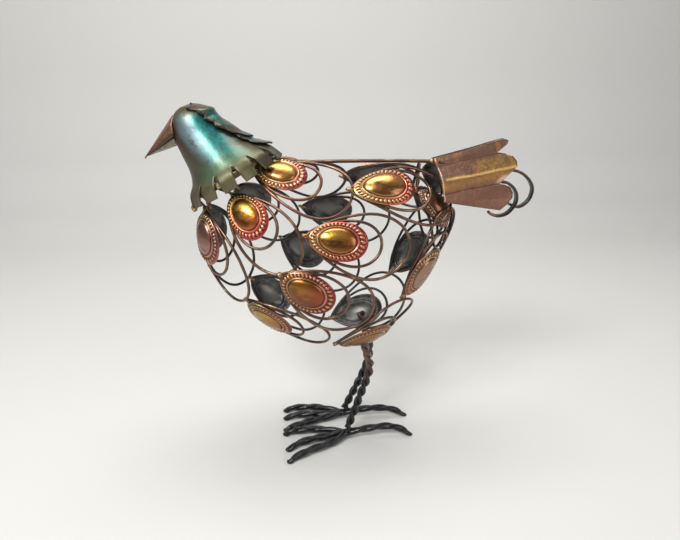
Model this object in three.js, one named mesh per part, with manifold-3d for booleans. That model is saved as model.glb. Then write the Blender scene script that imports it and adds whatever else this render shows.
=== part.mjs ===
// Iron hen ornament: a hollow hen of looped wire and stamped oval plates, with a sheet-metal
// hood, crest, beak and tail, standing on two twisted wire legs.
// Millimetres, +Z up. The head points to -X, so the hen's left side is -Y.
import * as THREE from "three";
import Module from "manifold-3d";

const wasm = await Module();
wasm.setup();
const V = (x, y, z) => new THREE.Vector3(x, y, z);
const lerp = THREE.MathUtils.lerp;
const rad = THREE.MathUtils.degToRad;

// Sizes
const gap = 0.3; // clearance between pieces that touch
const featherWire = 2.2; // diameter of the feather wire
const wireSides = 4;
const squareSide = 0.89; // side of the square section that stands for a round wire, over its diameter
const bodyCentre = V(-28, 0, 155);
const bodyHalfWidth = 51; // at the middle of the flank
const bodyRound = 1.7; // exponent of the cross-section, 2 is an ellipse
// Distance from the body's centre to its outline every 24 degrees, from the tail end upwards.
const bodyRadii = [90, 112, 100, 82, 80, 90, 100.6, 94.2, 80.4, 71.3, 68, 70.4, 71.1, 76.3, 79.9];
const ridgeWire = 2.4;
const ridgeHeight = 232;
const drawnRidge = 232; // ridge height that the outlines of body, head and tail are drawn for
const backRise = ridgeHeight - drawnRidge;
const ridgeFront = -72;
const ridgeBack = 56;
const plateLength = 39;
const plateWidth = 25.5;
const plateSides = 10;
const plateSheet = 0.9;
const plateFromTip = 21.6;
const plateDome = 3.2;
const innerLoopShare = 0.69; // inner loop's size over the outer loop's
const loopPoint = 0.35; // how pointed a loop's front end is
const outerSteps = 15;
const innerSteps = 10;
const hoodSheet = 1.2;
const flapCount = 14;
const flapDrop = 0.8; // share of a flap's length cut back at a notch
const ringWire = 2.6;
const ringRadius = 30.9;
const drawnRing = 30.9; // ring radius that the sections of the hood are drawn for
const crestSheet = 1.0;
const crestLift = 2.3; // space between the crest and the hood, which curves between its facets
const tailSheet = 1.2;
const tailLean = 0.55; // how far a tail sheet leans out for each millimetre down, at its root
const tailTopSide = ridgeWire * 0.9 + gap + 0.2; // from the centre plane
const curlSheet = 1.1;
const curlWidth = 4.4;
const legStrand = 3.4;
const legSide = 14.5;
const legAlong = 32; // from the tip of the thigh feather to the leg
const twistPitch = 19.5;
const toeThick = 5.6;

// Solids from vertices and triangles, turned to face out.
function solid(verts, tris) {
  let six = 0;
  for (const [a, b, c] of tris) {
    six += verts[a].dot(verts[b].clone().cross(verts[c]));
  }
  const out = six < 0 ? tris.map(([a, b, c]) => [a, c, b]) : tris;
  const vertProperties = new Float32Array(verts.flatMap((p) => [p.x, p.y, p.z]));
  const triVerts = new Uint32Array(out.flat());
  return new wasm.Manifold(new wasm.Mesh({ numProp: 3, vertProperties, triVerts }));
}

// The biggest body of a solid, for what is left of a piece trimmed by its neighbour.
function biggest(made) {
  return made.decompose().reduce((a, b) => (b.volume() > a.volume() ? b : a));
}

function cornersOf(made) {
  const m = made.getMesh();
  const corners = [];
  for (let i = 0; i < m.numVert; i++) {
    corners.push(V(...m.vertProperties.subarray(i * m.numProp, i * m.numProp + 3)));
  }
  return { corners, triVerts: m.triVerts };
}

// The same solid with each corner moved by bend.
function reshaped(made, bend) {
  const { corners, triVerts } = cornersOf(made);
  const tris = [];
  for (let i = 0; i < triVerts.length; i += 3) tris.push([...triVerts.subarray(i, i + 3)]);
  return solid(corners.map(bend), tris);
}

function geometryOf(made) {
  const { corners, triVerts } = cornersOf(made);
  const g = new THREE.BufferGeometry().setFromPoints(corners);
  g.setIndex(new THREE.BufferAttribute(triVerts, 1));
  g.computeVertexNormals();
  return g;
}

// Rings of points joined into one skin, closed into a loop or capped at both ends; ends may
// hold the middle point of each cap.
function skin(rings, looped, ends = null) {
  const n = rings[0].length;
  const verts = rings.flat();
  const tris = [];
  const last = looped ? rings.length : rings.length - 1;
  for (let i = 0; i < last; i++) {
    const a = i * n;
    const b = ((i + 1) % rings.length) * n;
    for (let j = 0; j < n; j++) {
      const k = (j + 1) % n;
      tris.push([a + j, a + k, b + k], [a + j, b + k, b + j]);
    }
  }
  if (!looped) {
    const top = (rings.length - 1) * n;
    if (ends) verts.push(...ends);
    for (let j = 0; j < n; j++) {
      const k = (j + 1) % n;
      if (ends) tris.push([n * rings.length, k, j], [n * rings.length + 1, top + j, top + k]);
      else if (j && k) tris.push([0, k, j], [top, top + j, top + k]);
    }
  }
  return solid(verts, tris);
}

// A round wire along points; thick(t) is its diameter from t = 0 to 1.
function wireAlong(points, thick, { looped = false, sides = wireSides } = {}) {
  const n = points.length;
  const tangent = (i) => {
    const a = points[looped ? (i + n - 1) % n : Math.max(i - 1, 0)];
    const b = points[looped ? (i + 1) % n : Math.min(i + 1, n - 1)];
    return b.clone().sub(a).normalize();
  };
  const turns = [];
  let up = V(0.13, 0.9, 0.41).cross(tangent(0)).normalize();
  for (let i = 0; i < n + (looped ? 1 : 0); i++) {
    const t = tangent(i % n);
    up = up.clone().addScaledVector(t, -up.dot(t)).normalize();
    turns.push(up);
  }
  let slip = 0;
  if (looped) {
    const t = tangent(0);
    slip = Math.atan2(turns[0].clone().cross(turns[n]).dot(t), turns[0].dot(turns[n]));
    const step = (2 * Math.PI) / sides;
    slip -= step * Math.round(slip / step);
  }
  const rings = points.map((p, i) => {
    const t = tangent(i);
    const side = t.clone().cross(turns[i]);
    const r = thick(n > 1 ? i / (n - 1) : 0) / 2;
    const back = (-slip * i) / n;
    return Array.from({ length: sides }, (_, j) => {
      const a = back + (2 * Math.PI * (j + 0.5)) / sides;
      return p.clone().addScaledVector(turns[i], r * Math.cos(a)).addScaledVector(side, r * Math.sin(a));
    });
  });
  return skin(rings, looped);
}

// A thin sheet from a grid of points: rows of equal length, wrapped round or open.
function sheetOf(grid, thick, { wrapped = false, apex = null } = {}) {
  const rows = grid.length;
  const cols = grid[0].length;
  const pick = (i, j) => {
    const jj = wrapped ? (j + cols) % cols : THREE.MathUtils.clamp(j, 0, cols - 1);
    return grid[THREE.MathUtils.clamp(i, 0, rows - 1)][jj];
  };
  const outer = [];
  const inner = [];
  for (let i = 0; i < rows; i++) {
    for (let j = 0; j < cols; j++) {
      const down = pick(i + 1, j).clone().sub(pick(i - 1, j));
      const along = pick(i, j + 1).clone().sub(pick(i, j - 1));
      const n = down.cross(along).normalize();
      outer.push(grid[i][j].clone());
      inner.push(grid[i][j].clone().addScaledVector(n, thick));
    }
  }
  const verts = outer.concat(inner);
  const m = rows * cols;
  const tris = [];
  const quad = (a, b, c, d) => tris.push([a, b, c], [a, c, d]);
  const lastCol = wrapped ? cols : cols - 1;
  const at = (i, j) => i * cols + (j % cols);
  for (let i = 0; i < rows - 1; i++) {
    for (let j = 0; j < lastCol; j++) {
      quad(at(i, j), at(i, j + 1), at(i + 1, j + 1), at(i + 1, j));
      quad(m + at(i, j), m + at(i + 1, j), m + at(i + 1, j + 1), m + at(i, j + 1));
    }
  }
  for (let j = 0; j < lastCol; j++) {
    quad(at(rows - 1, j), at(rows - 1, j + 1), m + at(rows - 1, j + 1), m + at(rows - 1, j));
    if (!apex) quad(at(0, j + 1), at(0, j), m + at(0, j), m + at(0, j + 1));
  }
  if (!wrapped) {
    for (let i = 0; i < rows - 1; i++) {
      quad(at(i, 0), at(i + 1, 0), m + at(i + 1, 0), m + at(i, 0));
      quad(at(i + 1, cols - 1), at(i, cols - 1), m + at(i, cols - 1), m + at(i + 1, cols - 1));
    }
  }
  if (apex) {
    verts.push(apex.clone(), apex.clone().add(V(0.2, 0, -1).normalize().multiplyScalar(Math.abs(thick))));
    for (let j = 0; j < lastCol; j++) {
      tris.push([2 * m, at(0, j + 1), at(0, j)]);
      tris.push([2 * m + 1, m + at(0, j), m + at(0, j + 1)]);
    }
  }
  return solid(verts, tris);
}

const through = (points, n, looped = false) =>
  new THREE.CatmullRomCurve3(points, looped, "centripetal").getPoints(n);

// Body surface: an outline in the XZ plane, swollen to both sides.
function outlineRadius(angle) {
  const n = bodyRadii.length;
  const u = ((((angle / (2 * Math.PI)) % 1) + 1) % 1) * n;
  const i = Math.floor(u);
  const f = u - i;
  const [a, b, c, d] = [i - 1, i, i + 1, i + 2].map((k) => bodyRadii[(k + n) % n]);
  return b + 0.5 * f * (c - a + f * (2 * a - 5 * b + 4 * c - d + f * (3 * (b - c) + d - a)));
}

// The body above its centre reaches up to the ridge.
const upperStretch = (ridgeHeight - bodyCentre.z) / (drawnRidge - bodyCentre.z);

// 1 on the body surface, less inside it.
function depthIn(p) {
  const q = p.clone().sub(bodyCentre);
  if (q.z > 0) q.z /= upperStretch;
  const r = Math.hypot(q.x, q.z) / outlineRadius(Math.atan2(q.z, q.x));
  const w = Math.abs(q.y) / bodyHalfWidth;
  return (r ** bodyRound + w ** bodyRound) ** (1 / bodyRound);
}

function normalAt(p) {
  const e = 0.05;
  const d = (v) => depthIn(p.clone().add(v)) - depthIn(p.clone().sub(v));
  return V(d(V(e, 0, 0)), d(V(0, e, 0)), d(V(0, 0, e))).normalize();
}

// Point on the left surface from the angle round the outline and the angle out to the flank.
function onBody(round, out) {
  const a = rad(round);
  const s = rad(out);
  const r = outlineRadius(a) * Math.cos(s);
  const p = V(r * Math.cos(a), -bodyHalfWidth * Math.sin(s), r * Math.sin(a));
  if (p.z > 0) p.z *= upperStretch;
  return bodyCentre.clone().addScaledVector(p, 1 / depthIn(bodyCentre.clone().add(p)));
}

// Wires of the two sides lie against each other on the centre plane, or against the ridge.
const wireHalf = (featherWire * squareSide) / 2;
const keelSide = wireHalf + gap / 2 + 0.05;
const ridgeSide = ridgeWire * 0.9 + wireHalf + gap;
const sideAt = (p) => (p.z > bodyCentre.z + 50 * upperStretch ? ridgeSide : keelSide);

// Feathers of the left side. Each runs from its tip to its round end, given as the angle round
// the outline and the angle out to the flank; low and high raise the two ends off the surface.
const feathers = {
  back_front: { tip: [124, 9], end: [73, 40], width: 43, low: 0, high: -2.7, toRing: 5 },
  shoulder: { tip: [138, 22], end: [154, 74], width: 39, low: -2.7, high: -2.7, toRing: 3 },
  breast_front: { tip: [152, 10], end: [198, 27], width: 42, low: 0, high: 0, toRing: 3 },
  flank: { tip: [114, 63], end: [17, 55], width: 41, low: 0.5, high: 0.3 },
  back_rear: { tip: [75, 33], end: [27, 16], width: 40, low: 0, high: 0 },
  belly_front: { tip: [167, 68], end: [317, 55], width: 42, low: 0, high: 0 },
  breast_low: { tip: [199, 30], end: [270, 29], width: 42, low: -2.7, high: -2.7 },
  thigh: { tip: [277, 29], end: [337, 19], width: 42, low: 0, high: 0 },
  rump_low: { tip: [341, 36], end: [384, 12], width: 34, low: -2.7, high: -2.7 },
  rump_high: { tip: [42, 16], end: [8, 16], width: 26, low: -12.4, high: -5.4, toRidge: true },
};

// Frame of one feather: s runs from the tip to the round end, t across, h out of the surface.
function featherFrame(f) {
  const tip = onBody(...f.tip);
  const end = onBody(...f.end);
  const along = end.clone().sub(tip);
  const length = along.length();
  along.normalize();
  const out = normalAt(tip.clone().lerp(end, 0.5));
  const across = out.clone().cross(along).normalize();
  const at = (s, t, h) => {
    const p = tip.clone().addScaledVector(along, s).addScaledVector(across, t);
    p.sub(bodyCentre).multiplyScalar(1 / depthIn(p.clone().add(bodyCentre))).add(bodyCentre);
    const level = lerp(f.low, f.high, THREE.MathUtils.clamp(s / length, 0, 1)) + h;
    return p.addScaledVector(normalAt(p), level);
  };
  // The widest t at s, up to the one asked for, that stays on its own side of the hen.
  const within = (s, t) => {
    let [near, far] = [0, t];
    for (let i = 0; i < 12; i++) {
      const p = at(s, far, 0);
      if (p.y <= -sideAt(p)) return far;
      far = lerp(near, far, 0.9);
    }
    return far;
  };
  // Feathers of a lower upper half are narrower, so that its rows still lie beside each other.
  const width = f.width * (Math.min(tip.z, end.z) > bodyCentre.z ? Math.min(1, upperStretch) : 1);
  return { at, within, length, width };
}

// A teardrop loop of square wire, laid flat: s along x, t along y. Its pointed end stays wide
// enough for the wire to run on both sides of it.
function flatLoop(frame, size, width, steps) {
  const line = Array.from({ length: steps }, (_, i) => {
    const a = (2 * Math.PI * (i + 0.5)) / steps;
    const u = (1 - Math.cos(a)) / 2;
    const wide = (width / 2) * Math.sin(a) * u ** loopPoint * (1 + 0.8 * loopPoint);
    const t = Math.sign(wide) * Math.max(Math.abs(wide), wireHalf + 0.25);
    return V(size * u, frame.within(size * u, t), 0);
  });
  const rings = line.map((p, i) => {
    const ahead = line[(i + 1) % steps].clone().sub(p).normalize();
    const back = p.clone().sub(line[(i + steps - 1) % steps]).normalize();
    const out = ahead.clone().add(back).normalize().cross(V(0, 0, 1));
    const reach = wireHalf / Math.max(0.6, Math.sqrt((1 + ahead.dot(back)) / 2));
    const corner = (side, h) => p.clone().addScaledVector(out, side * reach).setZ(h * wireHalf);
    return [corner(1, 1), corner(-1, 1), corner(-1, -1), corner(1, -1)];
  });
  return skin(rings, true);
}

// Neck ring, under the flaps of the hood
const ringCentre = V(-95.2, 0, 225.8 + backRise);
const ringBack = V(0.863, 0, 0.505);
const ringPoint = (a, r) =>
  ringCentre.clone().addScaledVector(ringBack, r * Math.cos(a)).add(V(0, -r * Math.sin(a), 0));

function nearestOnRing(p) {
  const q = p.clone().sub(ringCentre);
  return ringPoint(Math.atan2(-q.y, q.dot(ringBack)), ringRadius);
}

// Outer and inner loop of a feather, brazed into one at the tip.
function featherWires(f) {
  const frame = featherFrame(f);
  const share = innerLoopShare;
  const inner = flatLoop(frame, frame.length * share, frame.width * share, innerSteps);
  const flat = flatLoop(frame, frame.length, frame.width, outerSteps).add(inner);
  const bent = reshaped(flat, (p) => frame.at(p.x, p.y, p.z));
  const tip = frame.at(0.5, 0, 0);
  const stub = (path) => bent.add(wireAlong(path, () => featherWire));
  if (f.toRing) {
    const lead = frame.at(-f.toRing, 0, 0);
    const ring = nearestOnRing(lead);
    const far = ring.distanceTo(lead);
    const stop = lead.clone().lerp(ring, (far - ringWire / 2 - gap) / far);
    return stub([tip, lead, stop]);
  }
  if (f.toRidge) {
    const rise = (ridgeWire + featherWire) / 2 + gap;
    const stop = V(tip.x + 3, -ridgeWire * 0.5, ridgeHeight - rise);
    return stub([tip, tip.clone().lerp(stop, 0.5), stop]);
  }
  return bent;
}

// A stamped oval plate that lies on the wires of its feather, dished underneath.
const plateRest = wireHalf + 1.5 * gap; // height of a plate's underside over the wires' middle
function featherPlate(f) {
  const frame = featherFrame(f);
  const sides = plateSides;
  const ring = (share, h) =>
    Array.from({ length: sides }, (_, i) => {
      const a = (2 * Math.PI * i) / sides;
      const s = plateFromTip + (plateLength / 2) * share * Math.cos(a);
      const t = (plateWidth / 2) * share * Math.sin(a) * (1 + 0.15 * Math.cos(a));
      return frame.at(s, t, h);
    });
  const under = plateRest;
  const over = plateRest + plateSheet;
  const rings = [
    ring(0.62, under + plateDome * 0.5),
    ring(1, under),
    ring(1, over),
    ring(0.64, over + plateDome * 0.62),
  ];
  const ends = [frame.at(plateFromTip, 0, under + plateDome * 0.8), frame.at(plateFromTip, 0, over + plateDome)];
  return skin(rings, false, ends);
}

// Hood: sections of the neck from the crown to the flap ends, as front point, back point and
// half width. Angle 0 is the front of the neck and 180 the nape.
const hoodSections = [
  { front: [-130.5, 269], back: [-121, 273.5], half: 6 },
  { front: [-133.5, 263], back: [-110.5, 270.5], half: 11.5 },
  { front: [-133, 254], back: [-102.5, 265], half: 14.5 },
  { front: [-130.5, 245.5], back: [-95, 259.5], half: 17 },
  { front: [-127.5, 237], back: [-88, 254], half: 20.5 },
  { front: [-124.5, 228], back: [-80.5, 250], half: 25 },
  { front: [-124, 219], back: [-73, 247.5], half: 29.5 },
  { front: [-125, 211.5], back: [-66.5, 245], half: 33.5 },
  { front: [-125, 203.5], back: [-62, 240.5], half: 36.5 },
];
const last = hoodSections.length - 1;
const asCurve = (list) => new THREE.CatmullRomCurve3(list, false, "centripetal");
const hoodFront = asCurve(hoodSections.map((s) => V(s.front[0], 0, s.front[1])));
const hoodBack = asCurve(hoodSections.map((s) => V(s.back[0], 0, s.back[1])));
const hoodHalf = asCurve(hoodSections.map((s, i) => V(i * 10, s.half, 0)));

// Point on the hood, row u from 0 (crown) to 8 (flap ends), raised by lift. Down to the ring
// the hood widens with it.
function hoodPoint(u, angle, over = 0) {
  const lift = over + 1.02 * (ringRadius - drawnRing) * Math.min(u / 6, 1);
  const t = THREE.MathUtils.clamp(u / last, 0, 1);
  const front = hoodFront.getPoint(t);
  const back = hoodBack.getPoint(t);
  const half = hoodHalf.getPoint(t).y + lift;
  const middle = front.clone().lerp(back, 0.5);
  const reach = front.clone().sub(middle);
  reach.setLength(reach.length() + lift);
  return middle.addScaledVector(reach, Math.cos(angle)).add(V(0, -half * Math.sin(angle), 0));
}

const crown = V(-127, 0, 274);
const flapParts = [0, 0.25, 0.75];
function hoodEdge(part) {
  return part === 0 ? last - 1 - flapDrop : last;
}

function hoodSolid() {
  const columns = [];
  for (let k = 0; k < flapCount; k++) {
    for (const part of flapParts) {
      columns.push({ angle: (2 * Math.PI * (k + part)) / flapCount, edge: hoodEdge(part) });
    }
  }
  const rows = [0, 0.17, 0.42, 0.72, 1];
  const grid = rows.map((r) => columns.map((c) => hoodPoint(r * c.edge, c.angle)));
  return sheetOf(grid, -hoodSheet, { wrapped: true, apex: crown });
}

// The hood's outer form as one block, for trimming what lies against it.
function hoodBlock(lift) {
  const rings = [0, 1, 2, 3, 4, 5].map((u) =>
    Array.from({ length: 24 }, (_, i) => hoodPoint(u, (2 * Math.PI * i) / 24, lift)),
  );
  return skin(rings, false);
}

// Crest: two leaves over the crown and nape, the upper one scalloped along its edges.
function crestLeaf(from, to, half, rise, lift, scallops) {
  const steps = 6;
  const grid = [];
  for (let i = 0; i <= steps; i++) {
    const u = i / steps;
    const row = lerp(from, to, u);
    const ends = Math.min(1, Math.sin(Math.PI * Math.min(u * 1.6 + 0.06, 0.5)));
    const taper = u > 0.7 ? lerp(1, 0.12, ((u - 0.7) / 0.3) ** 1.2) : 1;
    const wave = 1 + 0.1 * Math.sin(u * scallops * 2 * Math.PI);
    const wide = half * ends * taper * wave;
    const span = wide / hoodHalf.getPoint(row / last).y;
    const off = lift + rise * Math.max(0, (u - 0.6) / 0.4) ** 1.6;
    grid.push([-1, -0.5, 0, 0.5, 1].map((v) => hoodPoint(row, Math.PI + v * span, off)));
  }
  return sheetOf(grid, crestSheet);
}

// Beak halves: folded sheet closed to a solid, each from its root on the face to the tip.
function beakHalf(root, tip, halfWidth, ridge) {
  const across = V(0, 1, 0);
  const ring = (share) =>
    root.map(([x, z, w]) => {
      const p = V(x, 0, z).lerp(tip, share);
      return p.addScaledVector(across, w * halfWidth * (1 - share) * (1 + ridge * share));
    });
  return biggest(skin([ring(-0.25), ring(0), ring(0.5), ring(0.97)], false).subtract(hoodBlock(2 * gap)));
}

// Tail sheet: rows from the top edge to the bottom edge, fold is how far a row stands out.
const tailRows = [
  { root: [53, 236.5], end: [108, 247.5], fold: 0 },
  { root: [54, 232.5], end: [111.5, 244.5], fold: 0.4 },
  { root: [55.5, 228.5], end: [101, 238], fold: -1.6 },
  { root: [57, 224.5], end: [113.5, 235], fold: 0.3 },
  { root: [58.5, 220], end: [117, 230.5], fold: 2.2 },
  { root: [59.5, 214], end: [112.5, 223.5], fold: 0.6 },
  { root: [60, 208.5], end: [103, 217.5], fold: -1.6 },
  { root: [60.5, 207], end: [112.5, 213.5], fold: 0.4 },
  { root: [60.5, 205.5], end: [107, 204.5], fold: 1.4 },
  { root: [60.5, 204], end: [100, 199.5], fold: -0.4 },
];

function tailSolid() {
  const place = (x, z, fold, u) => {
    const top = lerp(tailRows[0].root[1], tailRows[0].end[1], u);
    const slope = tailLean * lerp(1, 0.65, u);
    const level = 1 / Math.hypot(1, slope);
    return V(x, -tailTopSide - slope * (top - z) - fold * level, z - fold * level * slope);
  };
  const grid = tailRows.map((row, i) =>
    [0, 0.33, 0.66, 0.88, 1].map((u) => {
      const bow = -1.6 * Math.sin(Math.PI * u) * (i > 6 ? 1 : 0);
      const x = lerp(row.root[0], row.end[0], u);
      return place(x, lerp(row.root[1], row.end[1], u) - bow * 0.6, row.fold * Math.min(1, u * 2 + 0.25), u);
    }),
  );
  return sheetOf(grid, tailSheet);
}

// A flat strip bent along points in a plane parallel to XZ, at a distance y.
function curlSolid(list, y, width) {
  const points = through(list.map(([x, z]) => V(x, y, z)), 12);
  const rings = points.map((p, i) => {
    const a = points[Math.max(i - 1, 0)];
    const b = points[Math.min(i + 1, points.length - 1)];
    const n = b.clone().sub(a).normalize().cross(V(0, 1, 0));
    const half = (width / 2) * lerp(1, 0.6, i / (points.length - 1));
    return [
      p.clone().addScaledVector(n, curlSheet / 2).add(V(0, half, 0)),
      p.clone().addScaledVector(n, -curlSheet / 2).add(V(0, half, 0)),
      p.clone().addScaledVector(n, -curlSheet / 2).add(V(0, -half, 0)),
      p.clone().addScaledVector(n, curlSheet / 2).add(V(0, -half, 0)),
    ];
  });
  return skin(rings, false);
}

// Leg: two strands twisted round each other along a bent path, cut off flat where it meets the
// plate of the thigh feather. side is -1 for the left leg and 1 for the right one.
const footHeight = 8;
const legPath = [
  [0, 100, 10],
  [4, 84, 5],
  [7.5, 70, 1],
  [5, 57, 0],
  [0.5, 44, 0],
  [-4, 30, 0],
  [-8, 18, 0],
  [-10.5, footHeight + 1.9, 0],
]; // x, z and how far outside legSide
function legSolid(side) {
  const path = through(legPath.map(([x, z, out]) => V(x, side * (legSide + out), z)), 30);
  const corners = [0, 52, 128, 180, 232, 308].map(rad);
  let run = 0;
  const rings = path.map((p, i) => {
    if (i) run += p.distanceTo(path[i - 1]);
    const turn = (-2 * Math.PI * run) / twistPitch;
    const ahead = path[Math.min(i + 1, path.length - 1)].clone().sub(path[Math.max(i - 1, 0)]).normalize();
    const across = V(0, 1, 0);
    const front = across.clone().cross(ahead).normalize();
    return corners.map((a) => {
      const wide = legStrand * Math.cos(a);
      const deep = legStrand * 0.62 * Math.sin(a);
      const u = wide * Math.cos(turn) - deep * Math.sin(turn);
      const v = wide * Math.sin(turn) + deep * Math.cos(turn);
      return p.clone().addScaledVector(front, u).addScaledVector(across, v);
    });
  });
  const frame = featherFrame(feathers.thigh);
  const flip = V(1, -side, 1);
  const level = plateRest + plateSheet + plateDome * 0.62 + gap;
  const top = frame.at(legAlong, 0, level).multiply(flip);
  const down = frame.at(legAlong, 0, level + 20).multiply(flip).sub(top).normalize();
  return skin(rings, false).trimByPlane(down.toArray(), down.dot(top));
}

// Toes: points from the joint to the tip, for the left foot and for the right foot.
const toes = {
  left: [
    [[-33, -6, 4.4], [-50, -5.2, 4.4], [-59, -5.6, 3.4], [-63, -6.4, 1.2]],
    [[-28, -16, 4.6], [-42, -19, 4.6], [-54, -23, 3.6], [-61, -27, 1.2]],
    [[-26, -25, 4.6], [-42, -32, 4.6], [-54, -38, 3.6], [-60, -41.5, 1.2]],
    [[8, -14.5, 9], [24, -14, 9.6], [36, -15, 6.5], [43, -16, 1.2]],
  ],
  right: [
    [[-32, 26, 4.6], [-48, 28, 4.6], [-58, 28.5, 3.6], [-63, 28, 1.2]],
    [[-30, 16, 4.6], [-46, 17, 4.6], [-57, 17, 3.6], [-63, 16, 1.2]],
    [[-30, 10, 4.4], [-47, 4.5, 4.4], [-58, 0.4, 3.4], [-63, -0.8, 1.2]],
    [[8, 14.5, 8.6], [24, 14, 8.8], [36, 13, 6.2], [44, 12, 1.2]],
  ],
};

function footSolid(side) {
  const y = side === "left" ? -legSide : legSide;
  const joint = V(-11, y, footHeight - gap - 1.7);
  const bead = new THREE.IcosahedronGeometry(3.6, 0);
  const at = bead.getAttribute("position");
  const corner = new Map();
  const verts = [];
  const ids = Array.from({ length: at.count }, (_, i) => {
    const p = V(at.getX(i), at.getY(i), at.getZ(i) * 0.72);
    const key = p.toArray().map((c) => c.toFixed(3)).join();
    if (!corner.has(key)) corner.set(key, verts.push(p.add(joint)) - 1);
    return corner.get(key);
  });
  const tris = Array.from({ length: ids.length / 3 }, (_, i) => ids.slice(3 * i, 3 * i + 3));
  const pieces = [solid(verts, tris)];
  for (const toe of toes[side]) {
    const points = through([joint, ...toe.map(([x, ty, z]) => V(x, ty, z))], 5);
    pieces.push(wireAlong(points, (t) => toeThick * (t < 0.6 ? 1 : lerp(1, 0.45, (t - 0.6) / 0.4)), { sides: 4 }));
  }
  return wasm.Manifold.union(pieces).trimByPlane([0, 0, 1], 0);
}

// Materials
const paint = (color, roughness, metalness) => new THREE.MeshStandardMaterial({ color, roughness, metalness });
const looks = {
  wire: paint(0x5a3a2a, 0.35, 0.9),
  plate: paint(0xc07a2c, 0.3, 0.95),
  hood: paint(0x3f8f86, 0.3, 0.9),
  crest: paint(0x5f7f5c, 0.35, 0.9),
  beak: paint(0x6f4a34, 0.4, 0.85),
  tail: paint(0x9a6a48, 0.35, 0.9),
  leg: paint(0x1c1a19, 0.3, 0.6),
};

const hen = new THREE.Group();
const left = new THREE.Group();
const right = new THREE.Group();
const middle = new THREE.Group();
hen.add(left, right, middle);

function place(group, name, made, look, rise = 0) {
  const mesh = new THREE.Mesh(geometryOf(made), looks[look]);
  mesh.name = name;
  mesh.position.z = rise;
  group.add(mesh);
  return mesh;
}

// A piece and its mirror image across the centre plane: the right group is turned over.
right.scale.y = -1;
function pair(name, made, look, rise = 0) {
  place(left, name + "_left", made, look, rise);
  place(right, name + "_right", made, look, rise);
}

for (const [name, f] of Object.entries(feathers)) {
  pair("wires_" + name, featherWires(f), "wire");
  pair("plate_" + name, featherPlate(f), "plate");
}

// Two wires side by side along the back.
function ridgePair() {
  const rings = [0, 1, 2, 3, 4, 5].map((i) => {
    const x = lerp(ridgeFront, ridgeBack, i / 5);
    const z = ridgeHeight + 1.2 * Math.sin((Math.PI * i) / 5);
    return Array.from({ length: 8 }, (_, k) => {
      const a = (2 * Math.PI * k) / 8;
      const deep = k % 4 === 2 ? 0.32 : 0.62;
      return V(x, ridgeWire * 0.9 * Math.cos(a), z + ridgeWire * deep * Math.sin(a));
    });
  });
  return skin(rings, false);
}
// Braze at the ridge's back end, as wide as the space between the roots of the tail sheets.
function ridgeBead() {
  const wide = tailTopSide + tailLean * (tailRows[0].root[1] - drawnRidge) - gap;
  const ring = (x, share) =>
    Array.from({ length: 8 }, (_, i) => {
      const a = (2 * Math.PI * i) / 8;
      return V(x, wide * share * Math.cos(a), ridgeHeight + ridgeWire * share * Math.sin(a));
    });
  return skin([ring(ridgeBack - 7, 0.4), ring(ridgeBack - 3, 1), ring(ridgeBack - 0.2, 0.8)], false);
}
place(middle, "ridge_wires", ridgePair().add(ridgeBead()), "wire");

const ringPoints = Array.from({ length: 24 }, (_, i) => ringPoint((2 * Math.PI * i) / 24, ringRadius));
place(middle, "neck_ring", wireAlong(ringPoints, () => ringWire, { looped: true }), "wire");

// Head and tail keep their height over the ridge.
place(middle, "head_hood", hoodSolid(), "hood", backRise);
place(
  middle,
  "head_crest",
  crestLeaf(0.35, 4.6, 8.5, 3.2, crestLift, 3).add(crestLeaf(3.2, 6.1, 6, 4.5, crestLift, 0)),
  "crest",
  backRise,
);
const upperRoot = [[-131, 265, 0], [-131, 262, 0.75], [-131, 254.6, 1], [-131, 254.6, -1], [-131, 262, -0.75]];
const lowerRoot = [[-131, 253.8, 1], [-130.5, 249, 0.7], [-130, 247, 0], [-130.5, 249, -0.7], [-131, 253.8, -1]];
place(middle, "beak_upper", beakHalf(upperRoot, V(-155, 0, 237.4), 8.4, 0.2), "beak", backRise);
place(middle, "beak_lower", beakHalf(lowerRoot, V(-152.5, 0, 238.6), 6.6, 0.2), "beak", backRise);

pair("tail_sheet", tailSolid(), "tail", backRise);
const curlHigh = [[56.7, 232.5], [80, 228], [104, 223.5], [119, 222.5], [129, 218], [136, 209], [134.5, 199.5], [127, 194], [119, 196.5]];
const curlLow = [[56.7, 231.5], [80, 224], [104, 216], [116, 214], [122.5, 208], [123.5, 199], [118, 191], [110, 190.5]];
place(middle, "tail_curl_high", curlSolid(curlHigh, 2.5, curlWidth), "tail", backRise);
place(middle, "tail_curl_low", curlSolid(curlLow, -2.5, curlWidth), "tail", backRise);

place(left, "leg_left", legSolid(-1), "leg");
place(middle, "leg_right", legSolid(1), "leg");
place(left, "foot_left", footSolid("left"), "leg");
place(middle, "foot_right", footSolid("right"), "leg");

// The frame's origin is under the middle of the whole hen, on the surface it stands on.
const bounds = new THREE.Box3().setFromObject(hen);
const centre = bounds.getCenter(V(0, 0, 0));
hen.position.set(-centre.x, -centre.y, -bounds.min.z);

export default hen;
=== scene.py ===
# Iron hen ornament: the visible model, built in millimetres round the hen's own centre plane.
# The head points to -X, the hen's left side is -Y.
import math

import bmesh
import bpy
from mathutils import Matrix, Vector, noise


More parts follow.
